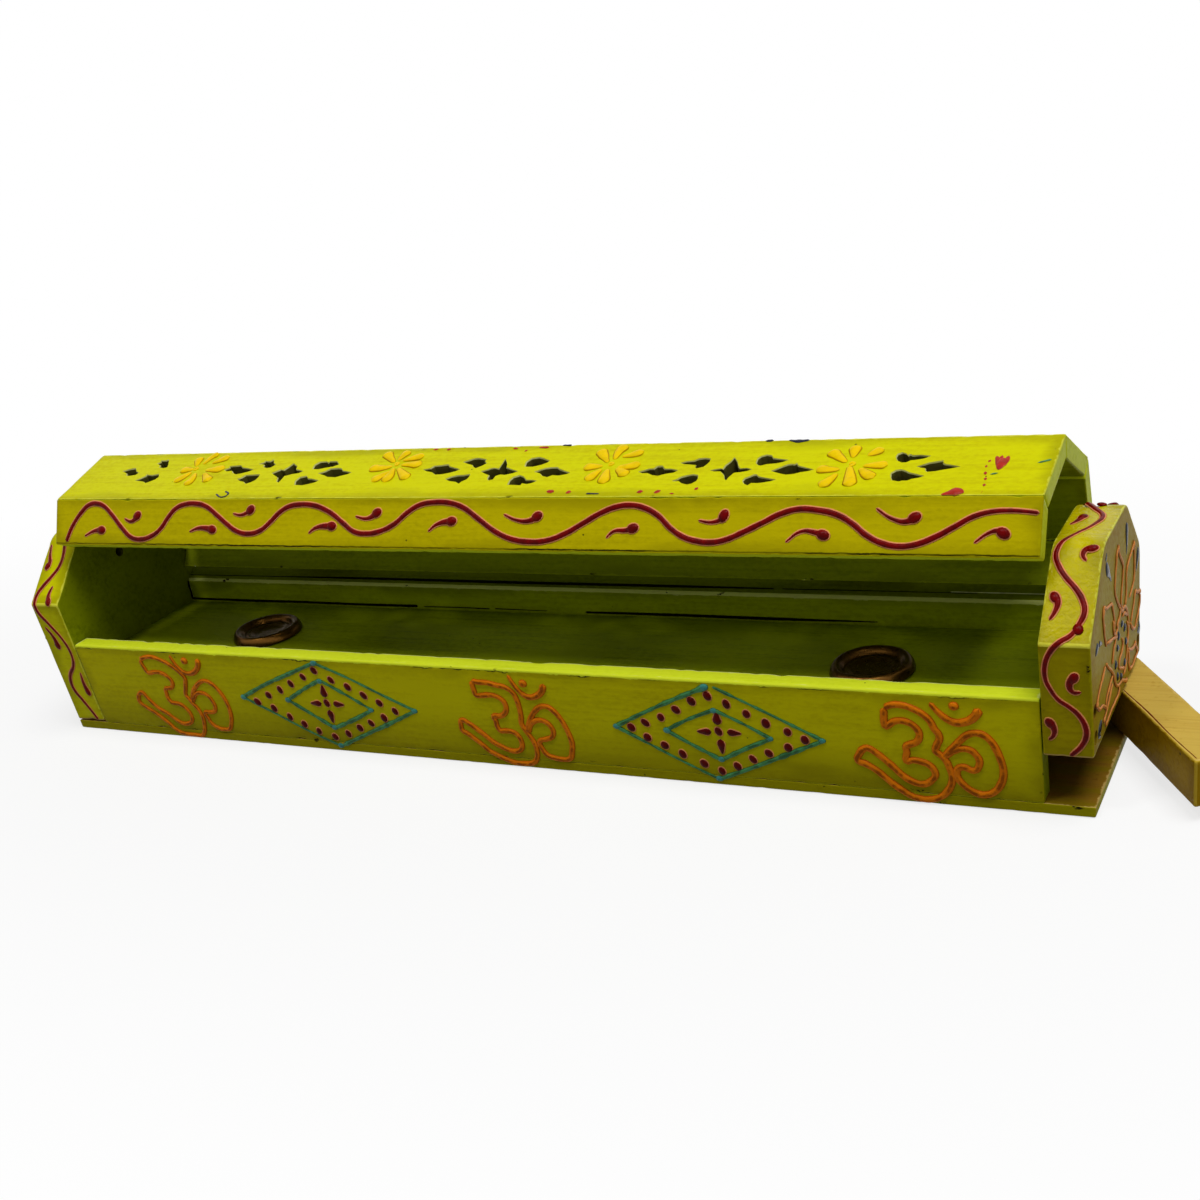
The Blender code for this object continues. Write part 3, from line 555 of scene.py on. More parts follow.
def rounded_outline(corners, roundings, soft, spacing):
    """Points round a convex outline whose corners are eased, each by its own rounding.

    Each holds its place, the way inwards, how much further a corner moves when the outline
    shrinks, the sides it touches, the distances to both ends of its side, how easily it wears, and
    the corner that it wears with. Soft corners don't count as edges.
    """
    count = len(corners)
    centre = sum(corners, Vector((0, 0))) / count

    def inwards(side):
        start, end = corners[side % count], corners[(side + 1) % count]
        along = (end - start).normalized()
        normal = Vector((along.y, -along.x))
        return -normal if normal.dot(centre - start) < 0 else normal

    def at_corner(place, turn, sides, begin, finish, rounding, corner):
        softness = min(1, rounding * 8)
        return RingPoint(
            place, turn.normalized(), 1 / turn.length, sides, begin, finish, softness, corner
        )

    ring = []
    for side in range(count):
        following = (side + 1) % count
        start, end = corners[side], corners[following]
        along = (end - start).normalized()
        first, last = roundings[side], roundings[following]
        length = (end - start).length - first - last
        turns = [(inwards(side + step - 1) + inwards(side + step)) / 2 for step in (0, 1)]
        for distance in close_to_edges(length, spacing):
            place = start + along * (first + distance)
            begin = first + distance + FAR * soft[side]
            finish = length - distance + last + FAR * soft[following]
            gap = min(distance, length - distance)
            if distance < 0.1:
                ring.append(at_corner(place, turns[0], (side,), begin, finish, first, start))
            elif gap < 0.1:
                ring.append(at_corner(place, turns[1], (side,), begin, finish, last, end))
            else:
                softness = 0.35 if gap < 0.8 else 0.0
                normal = inwards(side)
                ring.append(RingPoint(place, normal, 1, (side,), begin, finish, softness, place))
        beyond = (corners[(side + 2) % count] - end).normalized()
        edge = FAR * soft[following]
        steps = 3 if last < 1 else 7
        for share in (step / steps for step in range(1, steps)):
            place = (
                (end - along * last) * (1 - share) ** 2
                + end * 2 * share * (1 - share)
                + (end + beyond * last) * share**2
            )
            ring.append(at_corner(place, turns[1], (side, following), edge, edge, last, end))
    return ring


def wear_depth(spot, shift, dent, chip, softness):
    """How deep a dent and the nicks go at a spot, in millimetres."""
    wave = 0.5 + 0.5 * noise.noise(spot * 0.06 + shift)
    wave = 0.7 * wave + 0.3 * (0.5 + 0.5 * noise.noise(spot * 0.22 + shift))
    nick = max(0.0, noise.noise(spot * 0.42 - shift) - 0.18) * 1.6
    nick += max(0.0, noise.noise(spot * 0.13 + 2 * shift) - 0.3) * 0.8
    return min(1.0, max(0.0, wave)) * dent + min(chip, nick * chip) * softness


def close_end(shape, rim, finish, starts, ends):
    """Closes a board's end by rings that keep away from its edges, and a fan round its middle."""
    middle = sum((vert.co for vert in rim), Vector()) / len(rim)
    reach = min((vert.co - middle).length for vert in rim)
    outer, outer_gap = rim, 0.0
    for gap in (0.9, 2.2, 6.0):
        if gap > reach * 0.5:
            break
        inner = [
            shape.verts.new(vert.co.lerp(middle, gap / (vert.co - middle).length)) for vert in rim
        ]
        for *_, face in bridged(shape, outer, inner):
            face.material_index = finish
            face.smooth = True
            for loop, distance in zip(face.loops, (outer_gap, outer_gap, gap, gap)):
                loop[starts].uv = loop[ends].uv = (distance, distance)
        outer, outer_gap = inner, gap
    for *_, face in bridged(shape, outer, [shape.verts.new(middle)]):
        face.material_index = finish
        for loop in face.loops:
            loop[starts].uv = loop[ends].uv = (max(outer_gap, 1.0),) * 2


def board(
    name, corners, low, high, finishes, caps, seed, crosswise=None, spacing=None, eased=None,
    wear=1.0,
):
    """A worn board: an end outline drawn out from low to high, with dents, nicks and eased edges.

    The outline is in the plane of the second and third axes and the length runs along the first,
    unless crosswise gives another placement. Each corner is rounded in full, or by its share in
    eased, which is negative for a smooth corner that isn't rubbed. The two edge maps hold distances
    in millimetres.
    """
    sizes = bpy.context.scene.incense_box_sizes
    rounding, dent, chip = sizes.rounding / MM, sizes.dent / MM * wear, sizes.chip / MM * wear
    eased = eased or [1.0] * len(corners)
    ring = rounded_outline(
        [Vector(corner) for corner in corners], [rounding * abs(share) for share in eased],
        [share < 0 for share in eased], 4.0,
    )
    run = close_to_edges(high - low - 2 * rounding, spacing or sizes.station / MM)
    easing = [(0.0, 0.62), (0.16, 0.28), (0.48, 0.06)]
    stations = [(low + rounding * away, rounding * inset) for away, inset in easing]
    stations += [(low + rounding + distance, 0) for distance in run]
    stations += [(high - rounding * away, rounding * inset) for away, inset in reversed(easing)]
    shape = bmesh.new()
    starts, ends = edge_maps(shape)
    shift = Vector((seed * 17.3, seed * 5.1, seed * 9.7))
    rows = []
    for x, inset in stations:
        row = []
        for point in ring:
            softness = max(point.softness, 0.5) if inset > 0 else point.softness
            depth = wear_depth(Vector((x, *point.anchor)), shift, dent, chip, softness)
            moved = point.place + point.inward * (inset * point.stretch + depth)
            row.append(shape.verts.new((x, *moved)))
        rows.append(row)
    for (from_x, _), (to_x, _), upper, lower in zip(stations, stations[1:], rows, rows[1:]):
        for index, following, face in bridged(shape, upper, lower):
            first, second = ring[index], ring[following]
            touched = {*first.sides, *second.sides}
            if len(touched) > 1:
                first = second = first if len(first.sides) > 1 else second
            face.material_index = min(finishes[side] for side in touched)
            face.smooth = True
            for loop, entry, x in zip(
                face.loops, (first, second, second, first), (from_x, from_x, to_x, to_x)
            ):
                loop[starts].uv = (x - low, entry.begin)
                loop[ends].uv = (high - x, entry.finish)
    for rim, finish in zip((rows[0], rows[-1]), caps):
        close_end(shape, rim, finish, starts, ends)
    shape.transform(crosswise or Matrix.Identity(4))
    bmesh.ops.recalc_face_normals(shape, faces=shape.faces)
    if shape.calc_volume(signed=True) < 0:
        bmesh.ops.reverse_faces(shape, faces=shape.faces)
    return to_piece(name, shape)


def cutter(name, stacks, finishes, placement, concave=False):
    """Closed stacks of rings, with a finish for the walls of each level and for both ends."""
    shape = bmesh.new()
    maps = edge_maps(shape)
    for stack in stacks:
        rings = [[shape.verts.new(point) for point in ring] for ring in stack]
        for upper, lower, finish in zip(rings, rings[1:], finishes):
            for *_, face in bridged(shape, upper, lower):
                face.material_index = finish
        for ring in (rings[0], rings[-1]):
            shape.faces.new(ring).material_index = finishes[-1]
    for face in shape.faces:
        for loop in face.loops:
            for edge_map in maps:
                loop[edge_map].uv = (FAR, FAR)
    if concave:
        bmesh.ops.triangulate(shape, faces=[face for face in shape.faces if len(face.verts) > 4])
    bmesh.ops.recalc_face_normals(shape, faces=shape.faces)
    shape.transform(placement)
    return to_piece(name, shape)


def bore(name, centre, direction, radius, deep, wide, finish=RAW):
    """Cutter for a nail hole: a shank as deep as the nail, and a wider sink for its head."""
    turns = [2 * math.pi * index / 16 for index in range(16)]
    rings = [
        [(reach * math.cos(turn), reach * math.sin(turn), height) for turn in turns]
        for reach, height in ((wide, 1.2), (wide, -0.3), (radius, -0.3), (radius, -deep))
    ]
    aim = Vector(direction).to_track_quat("Z", "Y").to_matrix().to_4x4()
    return cutter(name, [rings], (finish,) * 4, Matrix.Translation(centre) @ aim)


def punch(name, rim, placement):
    """Cutter for the leaves and stars: straight walls, and a flared mouth that leaves a rim."""
    stacks = []
    for outline in HOLES:
        points = [Vector(point) for point in outline]
        middle = sum(points, Vector((0, 0))) / len(points)
        aways = [point - middle for point in points]
        stacks.append(
            [
                [(*(middle + away * (1 + flare / away.length)), height) for away in aways]
                for height, flare in ((0.6, rim), (-0.10, rim), (-rim - 0.15, 0.0), (-6.5, -0.1))
            ]
        )
    return cutter(name, stacks, (RIM, RIM, CUT, CUT), placement, concave=True)


def brad_holes(prefix, count):
    """Cutters over the CAD's own brads, so that each head lies in its hole."""
    cutters = []
    for name in (f"{prefix}_{wall}_{n + 1}" for wall in ("front", "rear") for n in range(count)):
        low, high = (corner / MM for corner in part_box(name))
        head = (low + high) / 2
        if name.startswith("plank"):
            head.z = low.z + 0.5
            direction, deep = (0, 0, -1), 11.0
        elif "right" in name:
            head.x = high.x - 0.5
            direction, deep = (1, 0, 0), 19.0
        else:
            head.x = low.x + 0.5
            direction, deep = (-1, 0, 0), 19.0
        cutters.append(bore(name + "_bore", head, direction, 0.8, deep, 1.6))
    return cutters


def carve(piece, cutters):
    """Cuts pieces out of another, and keeps the finish that each cutter gives its walls."""
    for tool in cutters:
        cut = piece.modifiers.new("carve", "BOOLEAN")
        cut.operation = "DIFFERENCE"
        cut.solver = "EXACT"
        cut.material_mode = "INDEX"
        cut.object = tool
    mesh = plain_mesh(piece)
    mesh.set_sharp_from_angle(angle=math.radians(42))
    piece.data = mesh
    for tool in cutters:
        bpy.data.objects.remove(tool)


def carry(piece, body, slot=None, nodes=()):
    """Joins a piece to its body and hides the CAD nodes that it stands for; the slot is not used.
    """
    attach(piece, body)
    if nodes:
        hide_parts(*nodes)


def fit(piece, node, body="box", cutters=(), slot="lime_paint", **finishes):
    """Finishes a board, cuts its holes and puts it in its node's place, in metres."""
    for name in {**FINISHES, **finishes}.values():
        piece.data.materials.append(paints()[name])
    if cutters:
        carve(piece, cutters)
    piece.data.transform(Matrix.Scale(MM, 4) @ PLACES[body])
    piece.data.update()
    carry(piece, body, slot, [node])


# Paint beads and dots, by Geometry Nodes


def paint_tree(name, inputs, grow):
    """Makes a tree once, whose inputs grow into geometry that gets its paint at the end."""
    if name in bpy.data.node_groups:
        return bpy.data.node_groups[name]
    tree = bpy.data.node_groups.new(name, "GeometryNodeTree")
    tree.interface.new_socket("Geometry", in_out="INPUT", socket_type="NodeSocketGeometry")
    for label, note in inputs.items():
        kind = "NodeSocketMaterial" if label == "Finish" else "NodeSocketFloat"
        tree.interface.new_socket(label, in_out="INPUT", socket_type=kind).description = note
    tree.interface.new_socket("Geometry", in_out="OUTPUT", socket_type="NodeSocketGeometry")
    graph = Graph(tree)
    given = graph.node("NodeGroupInput")
    smooth = graph.node("GeometryNodeSetShadeSmooth", {"Geometry": grow(graph, given)})
    real = graph.node("GeometryNodeRealizeInstances", {"Geometry": smooth})
    sockets = {"Geometry": real, "Material": given.other("Finish")}
    graph.node("NodeGroupOutput", {0: graph.node("GeometryNodeSetMaterial", sockets)})
    return tree


def crowned(graph, geometry, axis):
    """Keeps how high each point stands on the round form, for the paint's flanks."""
    height = graph.part(graph.node("GeometryNodeInputPosition"), axis)
    sockets = {"Geometry": geometry, "Name": "crown", "Value": height}
    return graph.node(
        "GeometryNodeStoreNamedAttribute", sockets, data_type="FLOAT", domain="POINT"
    )


def bead_tree():
    """Sweeps a round bead along each stroke, with lumps in its width and rounded ends."""

    def grow(graph, given):
        sockets = {"Curve": given, "Length": given.other("Spacing")}
        path = graph.node("GeometryNodeResampleCurve", sockets, mode="LENGTH")
        travelled = graph.node("GeometryNodeSplineParameter", output="Length")
        left = graph.node("GeometryNodeSplineLength") - travelled
        sockets = {0: graph.node("GeometryNodeInputPosition"), 1: given.other("Seed")}
        shifted = graph.node("ShaderNodeVectorMath", sockets, operation="ADD")
        lumps = graph.node("ShaderNodeTexNoise", {"Vector": shifted, "Scale": 380.0, "Detail": 2.0})
        half = graph.node("GeometryNodeInputRadius")
        half = half * (1 + (lumps - 0.5) * given.other("Lumps") * 2)
        short = graph.most(0.0, 1 - graph.least(travelled, left) / half)
        rounded = graph.maths("SQRT", graph.most(0.01, 1 - short * short))
        sockets = {"Curve": path, "Radius": half * rounded}
        path = graph.node("GeometryNodeSetCurveRadius", sockets)
        path = graph.node("GeometryNodeSetCurveNormal", {"Curve": path}, mode="Z_UP")
        sockets = {"Resolution": 10, "Radius": 1.0}
        profile = crowned(graph, graph.node("GeometryNodeCurvePrimitiveCircle", sockets), "Y")
        flat = graph.node("ShaderNodeCombineXYZ", {0: 1.0, 1: given.other("Rise"), 2: 1.0})
        profile = graph.node("GeometryNodeTransform", {"Geometry": profile, "Scale": flat})
        wide = graph.node("GeometryNodeInputRadius")
        sockets = {"Curve": path, "Profile Curve": profile, "Scale": wide, "Fill Caps": True}
        return graph.node("GeometryNodeCurveToMesh", sockets)

    inputs = {
        "Spacing": "Distance between the sections of a bead",
        "Rise": "Height of a bead as a share of its half width",
        "Lumps": "How far the width strays, as a share",
        "Seed": "Shifts the lumps",
        "Finish": "Paint of the bead",
    }
    return paint_tree("paint_beads", inputs, grow)


def dot_tree():
    """Sets a flattened drop of paint on each point."""

    def grow(graph, given):
        sockets = {"Segments": 12, "Rings": 6, "Radius": 1.0}
        drop = crowned(graph, graph.node("GeometryNodeMeshUVSphere", sockets), "Z")
        reach, turn = (
            graph.node("GeometryNodeInputNamedAttribute", {"Name": name}, data_type=kind)
            for name, kind in (("reach", "FLOAT_VECTOR"), ("turn", "FLOAT"))
        )
        wide = graph.part(reach, "Y")
        sizes = {0: graph.part(reach, "X"), 1: wide, 2: wide * given.other("Rise")}
        sockets = {
            "Points": given, "Instance": drop,
            "Scale": graph.node("ShaderNodeCombineXYZ", sizes),
            "Rotation": graph.node("ShaderNodeCombineXYZ", {2: turn}),
        }
        return graph.node("GeometryNodeInstanceOnPoints", sockets)

    inputs = {
        "Rise": "Height of a dot as a share of its half width",
        "Finish": "Paint of the dots",
    }
    return paint_tree("paint_dots", inputs, grow)


def face_frame(face, rear=False):
    """Frame on a long face of the front, or on its twin at the rear.

    X runs along the box, Y up the face and Z out of it.
    """
    (low_y, low_z), (high_y, high_z) = face
    up, along = Vector((0, high_y - low_y, high_z - low_z)).normalized(), Vector((1, 0, 0))
    placed = Matrix((along, up, along.cross(up))).transposed().to_4x4()
    placed.translation = (0, low_y, low_z)
    return Matrix.Rotation(math.pi, 4, "Z") @ placed if rear else placed


def framed(matrix):
    return lambda point: matrix @ point


def on_face(face, rear=False):
    return framed(face_frame(face, rear))


def on_rim(side, rear=False):
    """Wraps unrolled paint onto an end board's rim: x outwards, y round the rim, z off the wood."""
    runs = [b - a for a, b in zip(RIM_CORNERS, RIM_CORNERS[1:])]

    def wrapped(point):
        travelled, run = point.y, 0
        while run < 2 and travelled > runs[run].length:
            travelled -= runs[run].length
            run += 1
        along = runs[run].normalized()
        spot = RIM_CORNERS[run] + along * travelled
        for corner, past in ((run, travelled), (run + 1, travelled - runs[run].length)):
            reach = {1: END_SOFTENED, 2: 0.5}.get(corner, 0)
            if abs(past) < reach:
                share = (past + reach) / (2 * reach)
                before, after = runs[corner - 1].normalized(), runs[corner].normalized()
                spot = RIM_CORNERS[corner] - before * reach * (1 - share) ** 2
                spot += after * reach * share**2
                along = before.lerp(after, share).normalized()
        spot += Vector((along.y, -along.x)) * point.z
        return Vector((side * (INNER_HALF + point.x), -spot.x if rear else spot.x, spot.y))

    return wrapped


def lay(name, drawing, tree, inputs, wrap, body):
    """Grows flat paint from a drawing, and wraps it onto its face, with its faces outwards."""
    source = new_piece(name + "_drawing", drawing)
    modifier = source.modifiers.new(tree.name, "NODES")
    modifier.node_group = tree
    for item in tree.interface.items_tree:
        if item.item_type == "SOCKET" and item.in_out == "INPUT" and item.name in inputs:
            modifier[item.identifier] = inputs[item.name]
    mesh = plain_mesh(source)
    bpy.data.objects.remove(source)
    for vert in mesh.vertices:
        vert.co = (PLACES[body] @ wrap(vert.co / MM)) * MM
    shape = bmesh.new()
    shape.from_mesh(mesh)
    bmesh.ops.remove_doubles(shape, verts=shape.verts, dist=0.000001)
    bmesh.ops.recalc_face_normals(shape, faces=shape.faces)
    shape.to_mesh(mesh)
    shape.free()
    carry(new_piece(name, mesh), body)


def paint_strokes(
    name, strokes, finish, wrap, body="box", lumps=0.10, rise=None, seed=0.0, spread=0.0
):
    """Raised beads along strokes of (points, half widths), drawn flat in millimetres.

    The half widths are spaced evenly over the points, or are one number.
    """
    sizes = bpy.context.scene.incense_box_sizes
    curve = bpy.data.curves.new(name, "CURVE")
    curve.dimensions = "3D"
    for points, halves in strokes:
        halves = halves if isinstance(halves, tuple) else (halves, halves)
        spline = curve.splines.new("BEZIER")
        spline.resolution_u = 16
        spline.bezier_points.add(len(points) - 1)
        for index, (point, (x, y)) in enumerate(zip(spline.bezier_points, points)):
            share = index / (len(points) - 1) * (len(halves) - 1)
            before = min(int(share), len(halves) - 2)
            half = halves[before] + (halves[before + 1] - halves[before]) * (share - before)
            point.co = (x * MM, y * MM, 0)
            point.handle_left_type = point.handle_right_type = "AUTO"
            point.radius = (half + spread) * MM
    inputs = {
        "Spacing": sizes.bead_step, "Rise": rise or sizes.bead_rise, "Lumps": lumps, "Seed": seed,
        "Finish": paints()[finish],
    }
    lay(name, curve, bead_tree(), inputs, wrap, body)


def paint_dots(name, dots, finish, wrap, body="box", rise=0.5, spread=0.0):
    """Drops of paint at (x, y, half length, half width, turn in degrees), in millimetres."""
    mesh = bpy.data.meshes.new(name)
    mesh.from_pydata([(x * MM, y * MM, 0) for x, y, *_ in dots], [], [])
    mesh.attributes.new("reach", "FLOAT_VECTOR", "POINT")
    mesh.attributes.new("turn", "FLOAT", "POINT")
    for index, (_, _, long, wide, degrees) in enumerate(dots):
        reach = ((long + spread) * MM, (wide + spread) * MM, 0)
        mesh.attributes["reach"].data[index].vector = reach
        mesh.attributes["turn"].data[index].value = math.radians(degrees)
    lay(name, mesh, dot_tree(), {"Rise": rise, "Finish": paints()[finish]}, wrap, body)


def paint_bled(name, strokes, finish, wrap, body="box", lumps=0.10, rise=None):
    """Raised beads over a flat stain that spreads a little further."""
    paint_strokes(name + "_stain", strokes, "bled paint", wrap, body, 0.14, 0.14, spread=BLED)
    paint_strokes(name, strokes, finish, wrap, body, lumps, rise)


def paint_heads(name, leaves, reach, wrap, body="box"):
    """Round drops over their stain, for the thick ends of comma leaves."""
    heads = []
    for *_, (x0, y0), (x1, y1) in leaves:
        back = reach * 0.6 / math.hypot(x1 - x0, y1 - y0)
        degrees = math.degrees(math.atan2(y1 - y0, x1 - x0))
        heads.append((x1 - (x1 - x0) * back, y1 - (y1 - y0) * back, reach * 1.4, reach, degrees))
    paint_dots(name + "_head_stain", heads, "bled paint", wrap, body, 0.12, BLED)
    paint_dots(name + "_heads", heads, "red paint", wrap, body, 0.55)


# Drawings, in whole tenths of a millimetre, and half widths in millimetres


def drawn(numbers):
    """Points from their x and y in turn."""
    return [(x / 10, y / 10) for x, y in zip(numbers[::2], numbers[1::2])]


def drawn_lines(*lines):
    return [drawn(numbers) for numbers in lines]


def drawn_strokes(*lines):
    return [(drawn(numbers), halves) for numbers, halves in lines]


def moved(points, x, y=0):
    """Points or drops further along and up."""
    return [(a + x, b + y, *rest) for a, b, *rest in points]


# Outlines of the leaves and stars cut through a slope, along and up its face
HOLES = drawn_lines(
    (
        -1244, 138, -1227, 146, -1219, 149, -1206, 152, -1193, 137, -1178, 130, -1181, 120,
        -1200, 116, -1212, 117, -1219, 128,
    ),
    (
        -1159, 92, -1147, 100, -1135, 112, -1137, 119, -1115, 115, -1095, 121, -1085, 107,
        -1089, 95, -1100, 87, -1111, 79, -1124, 87, -1142, 89,
    ),
    (
        -1139, 174, -1130, 181, -1136, 188, -1117, 188, -1111, 193, -1095, 168, -1089, 156,
        -1101, 152, -1119, 158, -1121, 167,
    ),
    (
        -864, 137, -850, 147, -856, 153, -835, 155, -820, 157, -807, 146, -783, 142, -761, 136,
        -775, 126, -791, 120, -808, 116, -823, 123, -831, 132, -849, 130,
    ),
    (
        -785, 91, -773, 100, -769, 109, -750, 110, -723, 112, -720, 100, -721, 87, -730, 77,
        -742, 70, -756, 81, -768, 83,
    ),
    (
        -758, 162, -744, 171, -746, 176, -730, 173, -721, 182, -713, 168, -700, 159, -706, 147,
        -720, 144, -735, 151, -737, 160,
    ),
    (
        -683, 118, -672, 127, -664, 134, -652, 131, -644, 148, -640, 162, -619, 148, -614, 134,
        -583, 125, -593, 116, -613, 112, -623, 108, -632, 106, -631, 90, -631, 75, -642, 81,
        -650, 99, -666, 108,
    ),
    (
        -556, 135, -561, 155, -552, 167, -531, 168, -521, 161, -521, 168, -499, 169, -482, 154,
        -497, 145, -517, 141, -535, 134,
    ),
    (
        -523, 113, -505, 123, -496, 134, -472, 136, -460, 133, -452, 124, -419, 117, -427, 108,
        -441, 103, -457, 96, -483, 98, -497, 105,
    ),
    (
        -569, 63, -578, 80, -574, 96, -555, 102, -544, 89, -531, 88, -504, 81, -511, 72, -526, 67,
        -544, 61,
    ),
    (
        -195, 124, -175, 129, -169, 139, -149, 141, -131, 145, -122, 136, -84, 123, -94, 115,
        -108, 109, -126, 104, -146, 103, -160, 113, -176, 116,
    ),
    (
        -89, 155, -77, 162, -66, 169, -53, 171, -27, 165, -28, 157, -18, 149, -27, 138, -39, 129,
        -50, 136, -55, 143, -72, 148,
    ),
    (
        -103, 81, -90, 91, -73, 96, -58, 96, -42, 101, -40, 89, -41, 79, -51, 71, -54, 62, -66, 70,
        -86, 73,
    ),
    (
        -14, 113, 0, 119, 8, 125, 18, 127, 32, 122, 31, 141, 29, 166, 44, 145, 50, 128, 73, 118,
        92, 111, 81, 103, 62, 97, 47, 99, 38, 94, 38, 79, 27, 75, 20, 83, 18, 97, 2, 104,
    ),
    (
        103, 133, 99, 152, 107, 166, 125, 170, 137, 166, 162, 154, 158, 146, 145, 138, 127, 131,
        113, 131,
    ),
    (
        143, 107, 156, 116, 167, 122, 182, 124, 198, 125, 207, 117, 243, 102, 235, 96, 221, 92,
        214, 91, 199, 94, 189, 86, 173, 91, 163, 101, 154, 104,
    ),
    (
        93, 54, 90, 74, 94, 86, 108, 93, 122, 86, 134, 73, 150, 73, 167, 69, 156, 61, 144, 57,
        129, 61, 130, 53, 111, 54,
    ),
    (
        430, 102, 444, 108, 454, 113, 465, 113, 470, 123, 482, 124, 492, 112, 510, 112, 529, 106,
        521, 97, 502, 93, 486, 86, 472, 89, 456, 97, 444, 96,
    ),
    (
        526, 136, 539, 142, 558, 144, 567, 152, 581, 154, 595, 151, 596, 139, 594, 131, 589, 120,
        574, 115, 568, 122, 569, 128, 553, 130, 538, 131,
    ),
    (
        533, 63, 543, 69, 549, 78, 562, 84, 575, 88, 588, 85, 592, 74, 592, 62, 584, 53, 575, 50,
        561, 55, 551, 63, 541, 62,
    ),
    (
        614, 104, 629, 109, 638, 111, 644, 109, 645, 124, 652, 138, 655, 155, 668, 137, 677, 118,
        684, 110, 699, 112, 714, 107, 704, 100, 689, 96, 675, 95, 670, 82, 667, 65, 660, 73,
        655, 86, 642, 100, 633, 100, 626, 100,
    ),
    (
        718, 132, 716, 148, 721, 158, 733, 163, 745, 160, 752, 149, 769, 146, 791, 142, 780, 134,
        766, 130, 745, 128, 733, 122, 726, 124,
    ),
    (
        766, 99, 776, 106, 787, 115, 798, 123, 807, 124, 812, 122, 817, 127, 823, 117, 843, 110,
        864, 102, 852, 97, 835, 93, 823, 88, 806, 85, 793, 89, 781, 93,
    ),
    (
        710, 61, 712, 72, 721, 77, 728, 84, 735, 84, 742, 76, 761, 71, 787, 65, 774, 58, 757, 54,
        746, 53, 734, 54, 728, 45, 717, 51,
    ),
    (
        1043, 146, 1044, 157, 1053, 163, 1063, 157, 1068, 151, 1071, 155, 1078, 150, 1094, 152,
        1118, 148, 1106, 139, 1090, 135, 1078, 134, 1071, 127, 1061, 126, 1050, 133,
    ),
    (
        1100, 108, 1111, 114, 1123, 121, 1138, 125, 1151, 129, 1152, 120, 1158, 115, 1172, 112,
        1193, 106, 1180, 102, 1170, 99, 1157, 96, 1144, 92, 1127, 89, 1121, 97, 1121, 102,
        1110, 104,
    ),
    (
        1051, 73, 1049, 85, 1057, 95, 1068, 97, 1079, 91, 1087, 85, 1105, 79, 1123, 73, 1113, 67,
        1097, 63, 1090, 58, 1079, 58, 1074, 55, 1058, 59,
    ),
)
DOOR_LINE = drawn_strokes(
    ((-45, -10, -46, -140, -43, -260, -45, -380, -42, -500), (0.1, 0.2, 0.12))
)
# Dirt in the seams inside the box: along the rear wall and up it
SEAM_DIRT = drawn_strokes(
    (
        (-1390, 303, -1000, 305, -700, 306, -200, 305, 300, 306, 600, 306),
        (0.1, 0.16, 0.42, 0.5, 0.44, 0.2),
    ),
    ((620, 306, 900, 307, 1130, 307), (0.14, 0.1)),
    ((-1390, 221, -1180, 220, -960, 221, -740, 220, -520, 221), (0.3, 0.42, 0.34, 0.42)),
    ((-500, 220, -380, 221, -270, 220), (0.14, 0.18)), ((-255, 221, -80, 220), (0.16, 0.1)),
    ((40, 220, 300, 221, 600, 220, 880, 221), (0.3, 0.4, 0.42, 0.14)),
    ((-1391, 219, -1389, 240, -1391, 260, -1389, 280), (0.42, 0.26, 0.4, 0.3)),
)
# A painted highlight line along the rear wall's top, near its right end
PALE_SEAM = drawn_strokes(((1060, 310, 1220, 310, 1390, 310), (0.14, 0.26)))
# The wave along the lid's front strip, and its comma leaves from tail to head
WAVE = drawn((
    -1348, 6, -1324, 50, -1291, 88, -1262, 109, -1232, 113, -1203, 105, -1173, 82, -1133, 45,
    -1098, 20, -1065, 15, -1027, 23, -990, 45, -964, 75, -937, 99, -905, 110, -864, 112, -828, 104,
    -791, 82, -755, 58, -719, 39, -679, 33, -640, 42, -607, 64, -578, 88, -549, 103, -512, 109,
    -466, 107, -428, 96, -399, 82, -369, 62, -335, 41, -295, 36, -250, 43, -210, 60, -172, 88,
    -135, 107, -90, 114, -44, 112, -6, 101, 39, 74, 92, 42, 136, 26, 187, 20, 236, 24, 283, 40,
    330, 64, 376, 88, 416, 102, 449, 106, 485, 101, 524, 83, 558, 54, 588, 36, 623, 26, 657, 23,
    694, 29, 736, 46, 784, 68, 825, 87, 866, 97, 907, 95, 954, 85, 990, 66, 1022, 42, 1059, 25,
    1095, 19, 1130, 23, 1170, 38, 1211, 60, 1251, 82, 1290, 92, 1326, 94, 1360, 92, 1385, 89,
))
COMMAS = drawn_lines(
    (-1127, 72, -1100, 64, -1072, 83), (-1277, 22, -1239, 37, -1205, 40),
    (-736, 86, -707, 82, -681, 91, -669, 99), (-887, 37, -853, 47, -800, 43),
    (-332, 79, -293, 74, -258, 91), (-481, 35, -455, 50, -399, 55), (-108, 42, -79, 61, -32, 69),
    (110, 85, 148, 71, 184, 70, 211, 83), (392, 30, 412, 46, 445, 49, 468, 55),
    (626, 72, 661, 68, 685, 77, 692, 88), (838, 25, 875, 49, 910, 46, 931, 40),
    (1040, 99, 1079, 76, 1108, 71, 1132, 82), (1254, 27, 1288, 50, 1305, 53, 1320, 45),
)
COMMA_HALVES = (0.2, 0.36, 0.54, 0.95)
